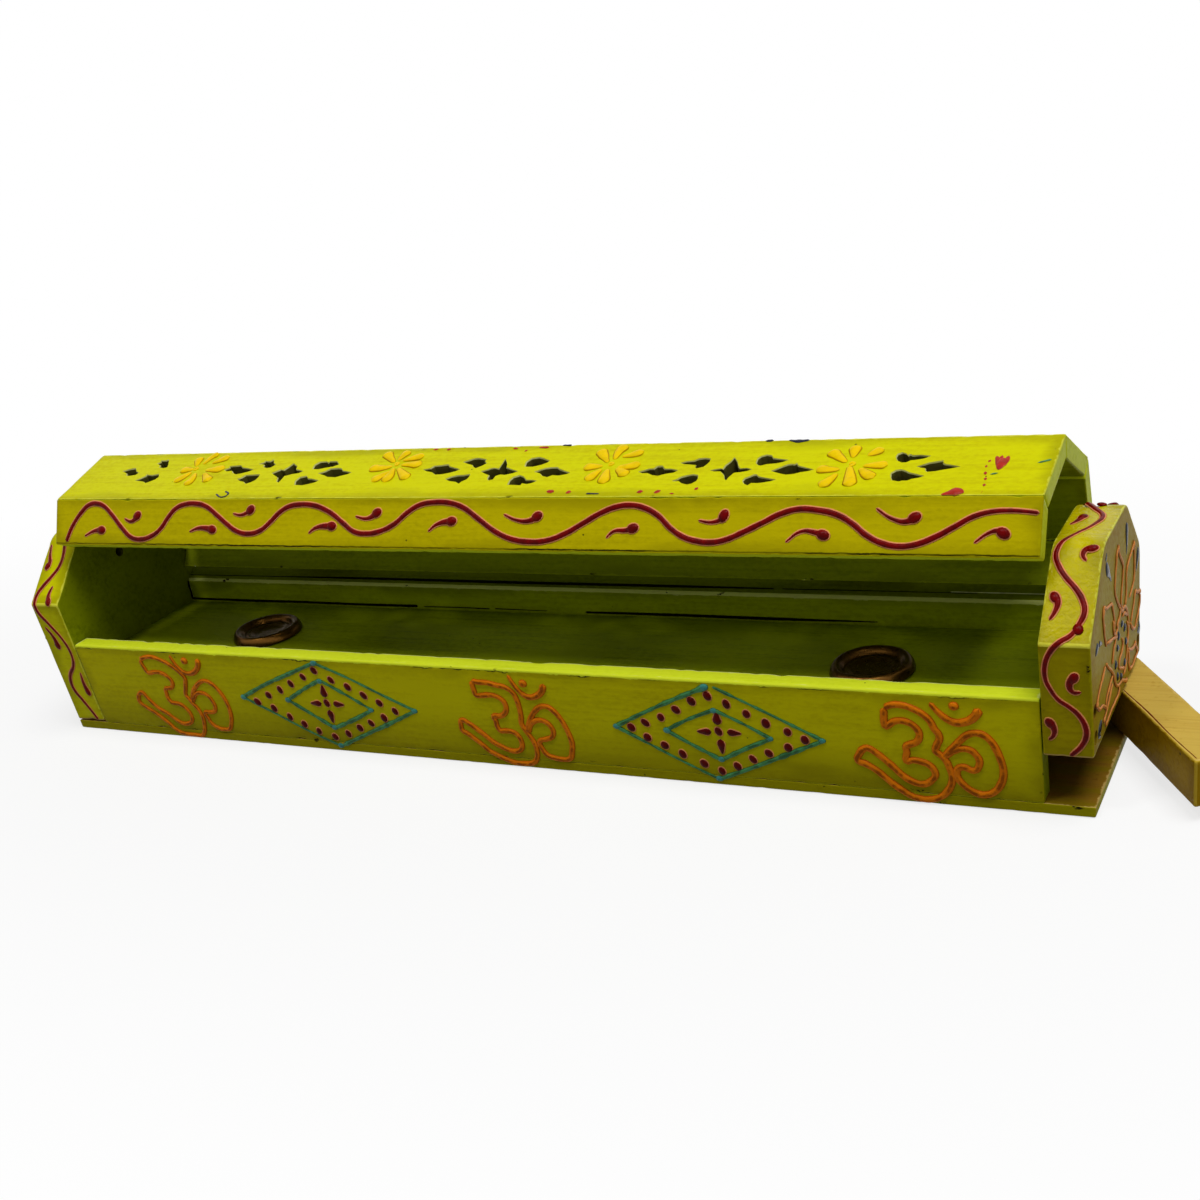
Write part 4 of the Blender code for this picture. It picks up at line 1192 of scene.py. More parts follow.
# Petals of the yellow flowers of a slope from foot to tip, and the flowers' middles
PETALS = drawn_lines(
    (-979, 156, -996, 199), (-961, 165, -949, 207, -938, 216), (-932, 169, -907, 187, -889, 201),
    (-932, 136, -899, 139, -867, 142), (-926, 122, -895, 94, -882, 83),
    (-958, 123, -948, 86, -952, 63), (-975, 128, -990, 101, -1006, 80),
    (-977, 140, -1000, 138, -1022, 138), (-304, 158, -336, 185, -355, 203),
    (-297, 167, -291, 193, -284, 210), (-282, 166, -252, 177, -226, 186),
    (-276, 146, -244, 148, -213, 145), (-277, 131, -247, 105, -222, 83),
    (-291, 132, -284, 97, -285, 69), (-287, 119, -306, 100, -326, 72),
    (-299, 140, -328, 132, -368, 133), (330, 142, 300, 179, 287, 196),
    (343, 154, 342, 190, 350, 215), (358, 166, 388, 175, 408, 188), (365, 121, 394, 124, 422, 132),
    (364, 117, 386, 101, 403, 85), (342, 114, 348, 82, 356, 54), (326, 114, 314, 90, 307, 65),
    (324, 126, 296, 124, 273, 122), (934, 127, 903, 155, 883, 173), (944, 145, 940, 175, 937, 192),
    (975, 152, 991, 166, 1005, 179), (976, 113, 1006, 115, 1032, 115),
    (972, 104, 994, 81, 1013, 65), (946, 112, 959, 71, 969, 35), (925, 85, 914, 57, 901, 34),
    (927, 100, 896, 100, 872, 104),
)
FLOWER_MIDDLES = drawn((-972, 142, -293, 149, 341, 134, 948, 119))
# Remains of an older pattern on the front slope, the last four red ones a tulip
RED_FLECKS = drawn_strokes(
    ((216, 25, 238, 22), (0.5, 0.8)), ((272, 16, 284, 24), (0.4, 0.8)),
    ((459, 18, 475, 22), (0.4, 0.7)), ((505, 14, 519, 25), (0.5, 0.9)),
    ((546, 12, 558, 12), (0.3, 0.4)), ((604, 25, 609, 36), (0.4, 0.7)),
    ((1178, 3, 1193, 8, 1208, 13, 1225, 10), (0.3, 0.7, 1.45, 0.9)),
    ((1261, 7, 1263, 15), (0.35, 0.45)), ((1261, 32, 1261, 42), (0.45, 0.3)),
    ((1259, 54, 1258, 64), (0.35, 0.5)), ((1255, 74, 1252, 86), (0.5, 0.3)),
    ((1249, 100, 1250, 110), (0.4, 0.3)), ((1250, 120, 1254, 129), (0.45, 0.25)),
    ((-214, 213, -198, 216), (0.3, 0.5)), ((-172, 214, -158, 212), (0.3, 0.5)),
    ((30, 213, 46, 209), (0.5, 0.3)), ((70, 196, 76, 204), (0.3, 0.4)),
    ((104, 214, 134, 212), (0.3, 0.5)), ((1278, 91, 1279, 116, 1280, 136), (0.35, 1.1, 0.75)),
    ((1274, 106, 1269, 126, 1263, 143), (0.5, 0.6, 0.3)),
    ((1283, 104, 1288, 126, 1288, 143), (0.5, 0.6, 0.35)), ((1273, 124, 1275, 145), (0.5, 0.35)),
)
DARK_FLECKS = drawn_strokes(
    ((-812, 22, -779, 8, -768, 19, -788, 35), (0.22, 0.32)), ((328, 14, 364, 13), (0.35, 0.25)),
    ((709, 220, 730, 221), (0.35, 0.55)), ((767, 221, 792, 216, 818, 220), (0.3, 0.6, 0.3)),
    ((169, 221, 196, 220), (0.25, 0.4)),
)
TEAL_FLECKS = drawn_strokes(
    ((1264, 75, 1280, 80), (0.22, 0.35)), ((1354, 115, 1381, 127), (0.2, 0.4)),
)
# Middles of the flowers along the lid's top, of the drops between them, and across it, in
# millimetres
TOP_FLOWERS, TOP_DROPS, TOP_MIDDLE = (-110, -52, 5, 58, 112), (-81, -23, 32, 86), 12
# Each sign on a wall: a three with a tail, a loop at its waist, a moon and a dot
SIGNS = (
    drawn_lines(
        (
            -1147, 249, -1124, 258, -1095, 260, -1066, 251, -1041, 239, -1024, 227, -1009, 212,
            -1000, 198, -1005, 181, -1013, 162, -1020, 142, -1014, 131, -1007, 117, -996, 103,
            -989, 87, -987, 67, -992, 45, -1003, 20, -1015, 6, -1041, 4, -1072, 4, -1094, 13,
            -1112, 24, -1129, 42, -1150, 61, -1171, 76, -1194, 90, -1211, 103, -1214, 115,
            -1201, 136, -1188, 139, -1178, 125, -1163, 106, -1143, 88, -1120, 75, -1099, 59,
            -1077, 46, -1052, 46, -1032, 59, -1030, 81, -1040, 98, -1055, 109, -1076, 112,
            -1086, 114, -1093, 123, -1094, 142, -1089, 159, -1076, 160, -1060, 168, -1055, 185,
            -1065, 199, -1085, 210, -1110, 211, -1136, 209, -1142, 223, -1146, 235, -1147, 249,
        ),
        (
            -1001, 117, -997, 139, -987, 156, -968, 174, -945, 189, -925, 193, -907, 185,
            -892, 169, -881, 149, -875, 125, -874, 102, -878, 78, -888, 55, -899, 40, -923, 36,
            -945, 41, -962, 55, -968, 71, -971, 87, -952, 90, -933, 95, -925, 108, -927, 129,
            -937, 145, -958, 153, -980, 147, -996, 129,
        ),
        (
            -1028, 269, -1023, 255, -1016, 239, -1006, 226, -991, 215, -967, 215, -945, 227,
            -931, 244, -926, 263,
        ),
        (-978, 254),
    ),
    drawn_lines(
        (
            -24, 246, -5, 243, 20, 243, 46, 238, 72, 233, 91, 220, 98, 201, 100, 179, 99, 155,
            95, 130, 102, 111, 112, 92, 120, 73, 121, 53, 116, 32, 103, 16, 77, 11, 46, 11, 20, 19,
            -5, 30, -25, 41, -41, 57, -60, 73, -79, 88, -92, 96, -93, 109, -86, 127, -65, 118,
            -44, 102, -25, 86, -5, 68, 17, 56, 41, 47, 63, 47, 77, 57, 81, 77, 75, 94, 63, 103,
            43, 105, 25, 105, 19, 117, 19, 134, 16, 145, 37, 148, 54, 159, 61, 176, 57, 193,
            42, 204, 21, 208, -3, 205, -20, 205, -23, 220, -24, 234, -24, 246,
        ),
        (
            105, 104, 114, 127, 127, 149, 144, 170, 162, 183, 182, 185, 198, 174, 213, 153,
            222, 130, 228, 106, 230, 82, 224, 57, 215, 38, 191, 33, 167, 36, 149, 43, 139, 59,
            136, 81, 156, 89, 175, 97, 183, 110, 180, 127, 168, 140, 150, 144, 131, 138, 117, 122,
            110, 104,
        ),
        (89, 269, 95, 253, 104, 235, 117, 219, 135, 209, 155, 212, 172, 222, 183, 237, 186, 249),
        (128, 247),
    ),
    drawn_lines(
        (
            1053, 241, 1073, 250, 1098, 250, 1119, 243, 1139, 231, 1154, 216, 1162, 197, 1171, 183,
            1172, 171, 1165, 155, 1161, 140, 1171, 130, 1181, 119, 1189, 97, 1193, 76, 1190, 56,
            1180, 37, 1165, 21, 1141, 11, 1119, 10, 1097, 15, 1076, 28, 1055, 44, 1037, 61,
            1019, 77, 997, 91, 977, 101, 982, 115, 996, 132, 1004, 134, 1022, 124, 1042, 107,
            1060, 89, 1077, 71, 1096, 57, 1114, 50, 1131, 51, 1145, 61, 1155, 75, 1153, 90,
            1143, 102, 1128, 108, 1106, 111, 1092, 108, 1092, 118, 1095, 131, 1094, 145, 1105, 152,
            1118, 158, 1126, 169, 1127, 185, 1119, 198, 1107, 207, 1091, 211, 1073, 208, 1061, 199,
            1053, 194, 1050, 205, 1051, 221, 1053, 241,
        ),
        (
            1179, 125, 1191, 140, 1206, 157, 1220, 173, 1235, 186, 1254, 192, 1272, 187, 1286, 173,
            1297, 150, 1303, 130, 1307, 111, 1307, 89, 1301, 68, 1288, 48, 1269, 36, 1250, 36,
            1232, 44, 1217, 57, 1206, 74, 1204, 88, 1210, 100, 1223, 103, 1236, 97, 1247, 97,
            1254, 107, 1257, 122, 1251, 136, 1240, 147, 1221, 150, 1205, 145, 1191, 136, 1181, 125,
        ),
        (
            1157, 261, 1165, 250, 1177, 236, 1192, 223, 1210, 215, 1229, 217, 1248, 227, 1259, 240,
            1265, 253,
        ),
        (1210, 256),
    ),
)
# How wide each sign's lines are, and how far each moves to stand evenly on the rear wall
SIGN_HALVES, REAR_SIGN_SHIFTS = (0.68, 0.76, 0.88), (-13.0, -6.9, 4.3)
REAR_DIAMOND_SHIFT = -6.0
# Lines of the diamonds: outer then inner, from the left tip over the top
DIAMONDS = drawn_strokes(
    ((-807, 149, -706, 196, -610, 234, -516, 271), (0.62, 0.5, 0.66, 0.6)),
    ((-516, 271, -418, 232, -324, 188, -226, 144), (0.5, 0.36, 0.42, 0.5)),
    ((-226, 144, -320, 100, -414, 58, -511, 14), (0.5, 0.64, 0.56, 0.6)),
    ((-511, 14, -612, 56, -710, 104, -807, 149), (0.4, 0.34, 0.36, 0.5)),
    ((-647, 150, -580, 187, -515, 219), (0.6, 0.5, 0.62)),
    ((-515, 219, -442, 180, -368, 137), (0.55, 0.44, 0.5)),
    ((-368, 137, -440, 102, -514, 71), (0.52, 0.66, 0.6)),
    ((-514, 71, -582, 112, -647, 150), (0.6, 0.5, 0.6)),
    ((366, 143, 456, 189, 546, 232, 626, 267), (0.6, 0.5, 0.62, 0.8)),
    ((644, 269, 728, 229, 814, 187, 901, 144), (0.42, 0.36, 0.4, 0.5)),
    ((901, 144, 808, 100, 714, 56, 621, 15), (0.5, 0.62, 0.56, 0.6)),
    ((621, 15, 534, 56, 452, 98, 366, 143), (0.4, 0.34, 0.38, 0.55)),
    ((502, 142, 568, 177, 638, 207), (0.6, 0.5, 0.6)),
    ((638, 207, 706, 175, 772, 139), (0.5, 0.42, 0.5)),
    ((772, 139, 702, 106, 636, 70), (0.52, 0.64, 0.6)),
    ((636, 70, 570, 104, 502, 142), (0.6, 0.5, 0.6)),
)
# Bluish knots where the lines meet, in millimetres
DIAMOND_KNOTS = (
    (-80.4, 14.9, 1.1, 0.85, 0), (-51.6, 27.0, 1.2, 0.8, 10), (-22.9, 14.4, 1.0, 0.75, 0),
    (-51.2, 1.6, 1.0, 0.8, 0), (-64.6, 15.0, 1.1, 0.85, 0), (-51.5, 21.6, 1.0, 0.8, 0),
    (-37.1, 13.7, 0.95, 0.7, 0), (-51.4, 7.3, 1.0, 0.8, 0), (36.9, 14.3, 1.1, 0.8, 0),
    (62.2, 26.6, 1.3, 0.95, 20), (89.8, 14.4, 0.9, 0.7, 0), (62.2, 1.7, 1.1, 0.8, 0),
    (50.5, 14.2, 1.1, 0.85, 0), (63.7, 20.5, 0.95, 0.75, 0), (76.9, 13.9, 0.9, 0.7, 0),
    (63.6, 7.2, 1.0, 0.8, 0),
)
DIAMOND_DOTS = drawn((
    -759, 137, -711, 161, -663, 181, -618, 202, -568, 226, -523, 248, -475, 222, -426, 204,
    -381, 181, -336, 161, -292, 139, -707, 120, -660, 96, -617, 76, -573, 57, -522, 43, -473, 56,
    -427, 78, -384, 96, -335, 116, 409, 143, 450, 159, 495, 177, 539, 201, 584, 227, 628, 244,
    673, 225, 720, 202, 765, 180, 816, 161, 856, 143, 448, 118, 491, 99, 535, 78, 588, 56, 632, 39,
    675, 56, 718, 79, 761, 99, 812, 119,
))
DIAMOND_CENTRES = drawn((-514, 149, 641, 149))
CROSS_PETALS = drawn_strokes(
    ((1, 17, 1, 30, 3, 56), (0.8, 1.15, 0.3)), ((-19, -2, -31, -3, -58, -4), (0.8, 0.95, 0.2)),
    ((21, -1, 33, -1, 59, -2), (0.8, 0.95, 0.2)), ((1, -21, 1, -35, 0, -63), (0.8, 1.05, 0.22)),
)
# Vines of the end boards: outwards across the rim and round it from the far top corner
RIGHT_VINE = drawn((
    22, 6, 47, 43, 72, 90, 62, 142, 37, 192, 20, 231, 13, 258, 12, 279, 21, 300, 37, 323, 62, 350,
    78, 374, 85, 399, 77, 428, 65, 450, 43, 467, 25, 489, 14, 516, 13, 552, 23, 578, 38, 600,
    61, 617, 79, 636, 90, 660, 91, 683, 81, 707, 64, 727, 56, 734,
))
RIGHT_LEAVES = drawn_lines(
    (14, 140, 27, 112, 33, 88), (75, 289, 66, 274, 72, 260, 88, 256),
    (17, 420, 26, 401, 29, 380, 19, 364), (85, 579, 68, 580, 61, 563, 73, 542),
    (13, 699, 25, 684, 24, 665, 15, 652),
)
LEFT_VINE = drawn((
    24, 6, 56, 50, 76, 106, 60, 164, 48, 220, 43, 275, 34, 311, 35, 351, 52, 383, 76, 416, 90, 444,
    90, 472, 88, 496, 62, 536, 32, 585, 22, 630, 30, 665, 66, 710, 72, 749, 52, 791, 32, 830,
    22, 853,
))
LEFT_LEAVES = drawn_lines(
    (94, 284, 86, 320, 78, 343, 84, 358), (37, 413, 43, 442, 35, 469), (84, 545, 66, 578, 62, 610),
    (16, 692, 20, 730, 16, 763),
)
VINE_HALVES = (
    0.62, 0.62, 0.36, 0.42, 0.52, 0.52, 0.55, 0.62, 0.5, 0.6, 0.5, 0.42, 0.45, 0.52, 0.58, 0.5,
    0.45,
)
# Lines of the flower on an end board, across from its middle and up
END_PETALS = drawn_lines(
    (16, 507, -2, 495, -8, 479, -21, 449, -27, 424, -13, 402, 24, 365),
    (18, 505, 27, 487, 48, 467, 68, 439, 60, 416, 45, 386, 39, 367, 58, 346),
    (196, 444, 169, 437, 131, 428, 111, 420, 104, 398, 100, 363, 85, 342),
    (196, 443, 202, 416, 201, 395, 194, 361, 170, 349, 136, 340),
    (268, 303, 240, 310, 207, 323, 192, 306, 162, 281, 152, 272),
    (268, 296, 266, 280, 249, 262, 220, 248, 208, 241), (147, 274, 170, 251, 208, 238, 223, 244),
    (-144, 391, -155, 411, -155, 425, -148, 435, -121, 424, -89, 416, -60, 409),
    (-60, 408, -52, 392, -41, 370, -36, 343), (-154, 413, -149, 391, -144, 373, -128, 340),
    (-48, 366, -47, 340, -29, 323, -15, 311), (-118, 344, -91, 335, -53, 325, -10, 310),
    (24, 364, 54, 343, 72, 345, 107, 320, 120, 299, 123, 268),
    (32, 356, 18, 344, -9, 331, -2, 334, -24, 321, -30, 308, -50, 297, -69, 270),
    (106, 298, 117, 262, 105, 244, 100, 227, 90, 204, 81, 191, 57, 177),
    (53, 329, 71, 330, 107, 311), (48, 282, 54, 263, 36, 250, 15, 245, 5, 234, 29, 216, 64, 201),
    (
        -131, 302, -109, 283, -77, 260, -55, 239, -42, 216, -14, 189, 16, 174, 41, 166, 66, 145,
        91, 124,
    ),
    (-142, 303, -174, 288, -212, 273, -236, 255), (-236, 255, -211, 234, -175, 224, -144, 205),
    (-67, 245, -104, 234, -133, 223, -144, 206), (-70, 228, -105, 210, -141, 186, -165, 174),
    (6, 176, 2, 156, -42, 146, -96, 147, -145, 140), (203, 197, 187, 194, 139, 211, 118, 223),
    (118, 220, 122, 196, 120, 173, 135, 142),
    (206, 189, 224, 159, 229, 143, 201, 134, 167, 126, 135, 139),
)
# Blobs of paint where its lines meet at the petals' tips, in millimetres
END_TIPS = (
    (1.7, 50.2, 1.0, 0.8, 90), (19.6, 44.2, 1.1, 0.85, 45), (26.6, 30.0, 1.0, 0.75, 0),
    (22.0, 24.4, 0.9, 0.7, 0), (-15.0, 42.6, 1.1, 0.8, 60), (-14.4, 39.4, 0.8, 0.6, 0),
    (-23.2, 25.5, 1.1, 0.8, 0), (-14.4, 20.6, 0.8, 0.6, 0), (-16.3, 17.4, 0.9, 0.7, 0),
    (-14.3, 14.1, 0.9, 0.7, 0), (20.3, 19.5, 1.0, 0.75, 0), (22.9, 14.8, 0.9, 0.7, 0),
    (13.3, 14.0, 0.8, 0.6, 0), (9.0, 12.6, 0.9, 0.7, 0),
)
END_SEEDS = drawn((
    50, 314, 80, 292, 9, 303, 93, 253, -2, 279, 75, 209, -27, 250, -7, 213, 33, 194,
))
# Drops round it, each from its head to its tail
END_DROPS = drawn_strokes(
    ((118, 524, 118, 505, 118, 478, 114, 449), (1.0, 1.2, 0.8, 0.2)),
    ((-99, 539, -114, 525), (0.3, 0.6)),
    ((-110, 520, -98, 500, -77, 481, -58, 458), (0.9, 1.25, 0.7, 0.2)),
    ((256, 414, 246, 396, 235, 377, 225, 365), (0.9, 1.2, 0.7, 0.25)),
    ((-206, 382, -225, 373, -234, 366), (1.1, 0.9, 0.3)), ((-198, 378, -163, 364), (0.8, 0.25)),
    ((260, 230, 259, 206, 250, 211, 237, 210), (0.5, 0.9, 0.8, 0.3)),
    ((-183, 189, -207, 175, -217, 164, -197, 136), (0.8, 1.2, 0.8, 0.25)),
)


# Pieces


def wall_corners(side, low, high, fall):
    """End view of a wall, whose top falls inwards."""
    return (
        (side * half_width(low), low),
        (side * half_width(high), high),
        (side * (half_width(high) - WALL), high - fall),
        (side * (half_width(low) - WALL), low),
    )


def level_corners(low, high, inset=0.0):
    """End view of a board that lies flat."""
    sides = ((-1, low), (1, low), (1, high), (-1, high))
    return [(side * (half_width(up) - inset), up) for side, up in sides]


class OBJECT_OT_incense_box_body(bpy.types.Operator):
    """Builds the fixed boards: plank, walls, tray floor and the two end boards."""

    bl_idname = "object.incense_box_body"
    bl_label = "Box boards"

    def execute(self, context):
        # The rear wall's top face takes leaf paint darkened as painted shade, and the walls' inner
        # faces a lighter copy as painted light
        for name, side, top, fall, edge, seed in (
            ("front_wall", -1, FRONT_TOP, 0, INSIDE, 1),
            ("rear_wall", 1, REAR_TOP, SEAM_FALL, LOWER, 2),
        ):
            wall = board(
                name + "_board", wall_corners(side, WALL_LOW - WALL_HANG, top, fall), -WALL_HALF,
                WALL_HALF, (OUTSIDE, edge, INSIDE, RAW), (INSIDE, LOWER), seed,
                eased=(0.25, 1.2, 1.2, 1),
            )
            fit(
                wall, name, outside="lime wall paint", inside="bright leaf paint",
                lower="seam paint",
            )
        plank = board(
            "base_plank_board", level_corners(0, PLANK_TOP), -HALF_LENGTH, HALF_LENGTH,
            (RAW, OUTSIDE, RAW, OUTSIDE), (OUTSIDE, OUTSIDE), 3, eased=(0.25,) * 4, wear=0.25,
        )
        fit(plank, "base_plank", cutters=brad_holes("plank_brad", 3), outside="lime plank paint")
        floor = board(
            "tray_floor_board", level_corners(FLOOR_LOW, FLOOR_TOP, WALL + JOINT_LINE), -WALL_HALF,
            WALL_HALF, (RAW, INSIDE, INSIDE, INSIDE), (INSIDE, INSIDE), 4, spacing=3.0,
        )
        fit(floor, "tray_floor")
        softened = -END_SOFTENED / (context.scene.incense_box_sizes.rounding / MM)
        # The left end board's inner face takes leaf paint darkened as painted shade
        for name, side, low, seed, finishes in (
            ("left", -1, WALL_LOW, 5, {"inside": "seam paint", "lower": "lime paint"}),
            ("right", 1, STORE_MOUTH_TOP, 6, {"outside": "lime end paint"}),
        ):
            half = [(half_width(low), low), (WAIST_HALF, WAIST_UP), (TOP_HALF, TOP_UP)]
            corners = half + [(-across, up) for across, up in reversed(half)]
            inner = side * INNER_HALF
            piece = board(
                f"end_board_{name}_board", corners, *sorted((inner, side * HALF_LENGTH)),
                (LOWER, OUTSIDE, OUTSIDE, OUTSIDE, LOWER, RAW), (INSIDE, PANEL)[::side], seed,
                spacing=1.2, eased=(1, softened, softened, softened, 1, 1),
            )
            holes = brad_holes(f"end_brad_{name}", 2)
            if side < 0:
                spot = (inner, 0, WAIST_UP + 5.3)
                holes.append(bore("stick_hole", spot, (1, 0, 0), 1.2, 6.0, 1.5, CUT))
            fit(piece, f"end_board_{name}", cutters=holes, **finishes)
        return {"FINISHED"}


LID_CORNERS = [
    Vector(corner)
    for corner in (
        (-half_width(LID_FRONT_LOW), LID_FRONT_LOW), (-WAIST_HALF, WAIST_UP), (-TOP_HALF, TOP_UP),
        (TOP_HALF, TOP_UP), (WAIST_HALF, WAIST_UP), (half_width(LID_REAR_LOW), LID_REAR_LOW),
    )
]


def lid_board_corners(index):
    """End view of one lid board, mitred against its neighbours."""
    start, end = LID_CORNERS[index : index + 2]
    along = (end - start).normalized()
    edges = []
    for corner, step in ((index, 1), (index + 1, -1)):
        spot = LID_CORNERS[corner]
        if 0 < corner < len(LID_CORNERS) - 1:
            arriving = (spot - LID_CORNERS[corner - 1]).normalized()
            leaving = (LID_CORNERS[corner + 1] - spot).normalized()
            inwards = (leaving - arriving).normalized()
            spread = 1 / abs(leaving.x * inwards.y - leaving.y * inwards.x)
            outer = spot + along * (step * spread * SKIN_LINE / 2)
            inner = outer + inwards * (spread * LID_BOARD)
        else:
            outer = spot.copy()
            inner = outer + Vector((-math.copysign(LID_BOARD, spot.x) / abs(along.y), 0))
        edges.append((outer, inner))
    (outer_start, inner_start), (outer_end, inner_end) = edges
    return [outer_start, outer_end, inner_end, inner_start]


class OBJECT_OT_incense_box_lid(bpy.types.Operator):
    """Builds the five boards of the lid, with the leaves and stars cut through both slopes."""

    bl_idname = "object.incense_box_lid"
    bl_label = "Lid boards"

    def execute(self, context):
        rim = context.scene.incense_box_sizes.rim / MM
        for index, name in enumerate(
            ("lid_front_strip", "lid_front_slope", "lid_top", "lid_rear_slope", "lid_rear_strip")
        ):
            outline, eased = lid_board_corners(index), [0.4, 0.4, 1, 1]
            if name == "lid_front_strip":
                outline[0].y -= STRIP_HANG
                outline[3].y -= STRIP_HANG
            elif name == "lid_rear_strip":
                outline[2].y -= SEAM_FALL
                eased[2] = 0.1
            piece = board(
                name + "_board", outline, -LID_HALF, LID_HALF, (OUTSIDE, INSIDE, INSIDE, INSIDE),
                (INSIDE, INSIDE), 7 + index, eased=eased,
            )
            holes = []
            if "slope" in name:
                holes.append(punch(name + "_holes", rim, face_frame(SLOPE_FACE, "rear" in name)))
            paint = "lime strip paint" if name == "lid_front_strip" else "lime paint"
            fit(piece, name, "lid", holes, outside=paint)
        return {"FINISHED"}


class OBJECT_OT_incense_box_door(bpy.types.Operator):
    """Builds the square stick that closes the store, with its rounded rear end."""

    bl_idname = "object.incense_box_door"
    bl_label = "Store door"

    def execute(self, context):
        turns = [math.pi * step / 8 for step in range(9)]
        corners = [(DOOR_RADIUS * math.cos(turn), DOOR_RADIUS * math.sin(turn)) for turn in turns]
        corners += [(side * DOOR_RADIUS, DOOR_FRONT - DOOR_AXIS.y) for side in (-1, 1)]
        upright = Matrix(((0, 1, 0, 0), (0, 0, 1, 0), (1, 0, 0, 0), (0, 0, 0, 1)))
        stick = board(
            "store_door_stick", corners, DOOR_LOW, DOOR_HIGH, (OUTSIDE,) * 11, (RAW, RAW), 13,
            crosswise=Matrix.Translation(DOOR_AXIS) @ upright, spacing=2.0,
        )
        pivot = DOOR_AXIS + Vector((0, 0, DOOR_HIGH))
        holes = [bore("door_pin_bore", pivot, (0, 0, 1), 1.2, 14.0, 1.2)]
        fit(
            stick, "store_door", "store_door", holes, "bare_wood", outside="ochre paint",
            raw="bare wood",
        )
        top = framed(Matrix.Translation(pivot))
        paint_strokes("store_door_line", DOOR_LINE, "door line paint", top, "store_door", 0.5, 0.15)
        return {"FINISHED"}


# Radius and height along a cup from its middle, over the rim and back below it
CUP_PROFILE = (
    (0.0, 0.62), (2.4, 0.60), (3.6, 0.64), (4.3, 0.80), (4.8, 1.02), (5.3, 1.16), (5.8, 1.14),
    (6.2, 1.00), (6.5, 0.96), (6.8, 1.14), (7.1, 1.55), (7.45, 2.00), (7.9, 2.32), (8.4, 2.48),
    (8.9, 2.42), (9.3, 2.12), (9.65, 1.60), (9.9, 0.98), (10.05, 0.44), (10.08, 0.10), (9.9, 0.0),
    (0.0, 0.0),
)
CUP_STEPS = 72


class OBJECT_OT_incense_box_metal(bpy.types.Operator):
    """Turns the two cone cups and gives the hinges, pins, nails and brads their metal."""

    bl_idname = "object.incense_box_metal"
    bl_label = "Cups and hardware"

    def execute(self, context):
        for name in ("cone_cup_left", "cone_cup_right"):
            low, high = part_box(name)
            shape = bmesh.new()
            rings = []
            for radius, up in CUP_PROFILE:
                ring = []
                for step in range(CUP_STEPS if radius > 0 else 1):
                    turn = 2 * math.pi * step / CUP_STEPS
                    spot = Vector((radius * math.cos(turn), radius * math.sin(turn), up))
                    wobble = noise.noise(spot * 0.14 + low * 40) * 0.08 * min(1, up)
                    spot.z = max(0, spot.z - abs(wobble))
                    ring.append(shape.verts.new(spot))
                rings.append(ring)
            for upper, lower in zip(rings, rings[1:]):
                for *_, face in bridged(shape, upper, lower):
                    face.smooth = True
            bmesh.ops.recalc_face_normals(shape, faces=shape.faces)
            centre = (low + high) / 2
            place = Matrix.Translation((centre.x, centre.y - CUP_FORWARD, low.z))
            shape.transform(place @ Matrix.Scale(MM, 4))
            cup = to_piece(name + "_metal", shape)
            cup.data.materials.append(paints()["old bronze"])
            carry(cup, "box", "old_bronze", [name])
        for name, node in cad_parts.items():
            if name.startswith(("hinge_leaf", "hinge_pin")):
                metal = "hinge brass"
            elif name.startswith("end_brad"):
                metal = "painted head"
            elif "nail" in name or "brad" in name:
                metal = "nail steel"
            else:
                continue
            for slot in node.material_slots:
                slot.material = paints()[metal]
        return {"FINISHED"}


class OBJECT_OT_incense_box_seams(bpy.types.Operator):
    """Lays dirt into the seams inside the box, and a painted highlight line along the rear wall's
    top edge.
    """

    bl_idname = "object.incense_box_seams"
    bl_label = "Seams"

    def execute(self, context):
        edge = REAR_TOP - SEAM_FALL
        outwards = Vector((0, WALL, SEAM_FALL)).normalized()

        def inside(point):
            low = min(point.y, edge)
            past = point.y - low
            face = Vector((0, -outwards.z, outwards.y)) if past else Vector((0, -1, 0))
            spot = Vector((point.x, half_width(low) - WALL, low))
            return spot + outwards * past + face * point.z

        paint_strokes("seam_dirt", SEAM_DIRT, "soot", inside, rise=0.05)
        paint_strokes("seam_rubbed", PALE_SEAM, "pale edge paint", inside, lumps=0.3, rise=0.15)
        return {"FINISHED"}


def squashed(points):
    """The front strip's paint, made lower for the rear strip."""
    return [(x, 0.6 + y * 0.7) for x, y in points]


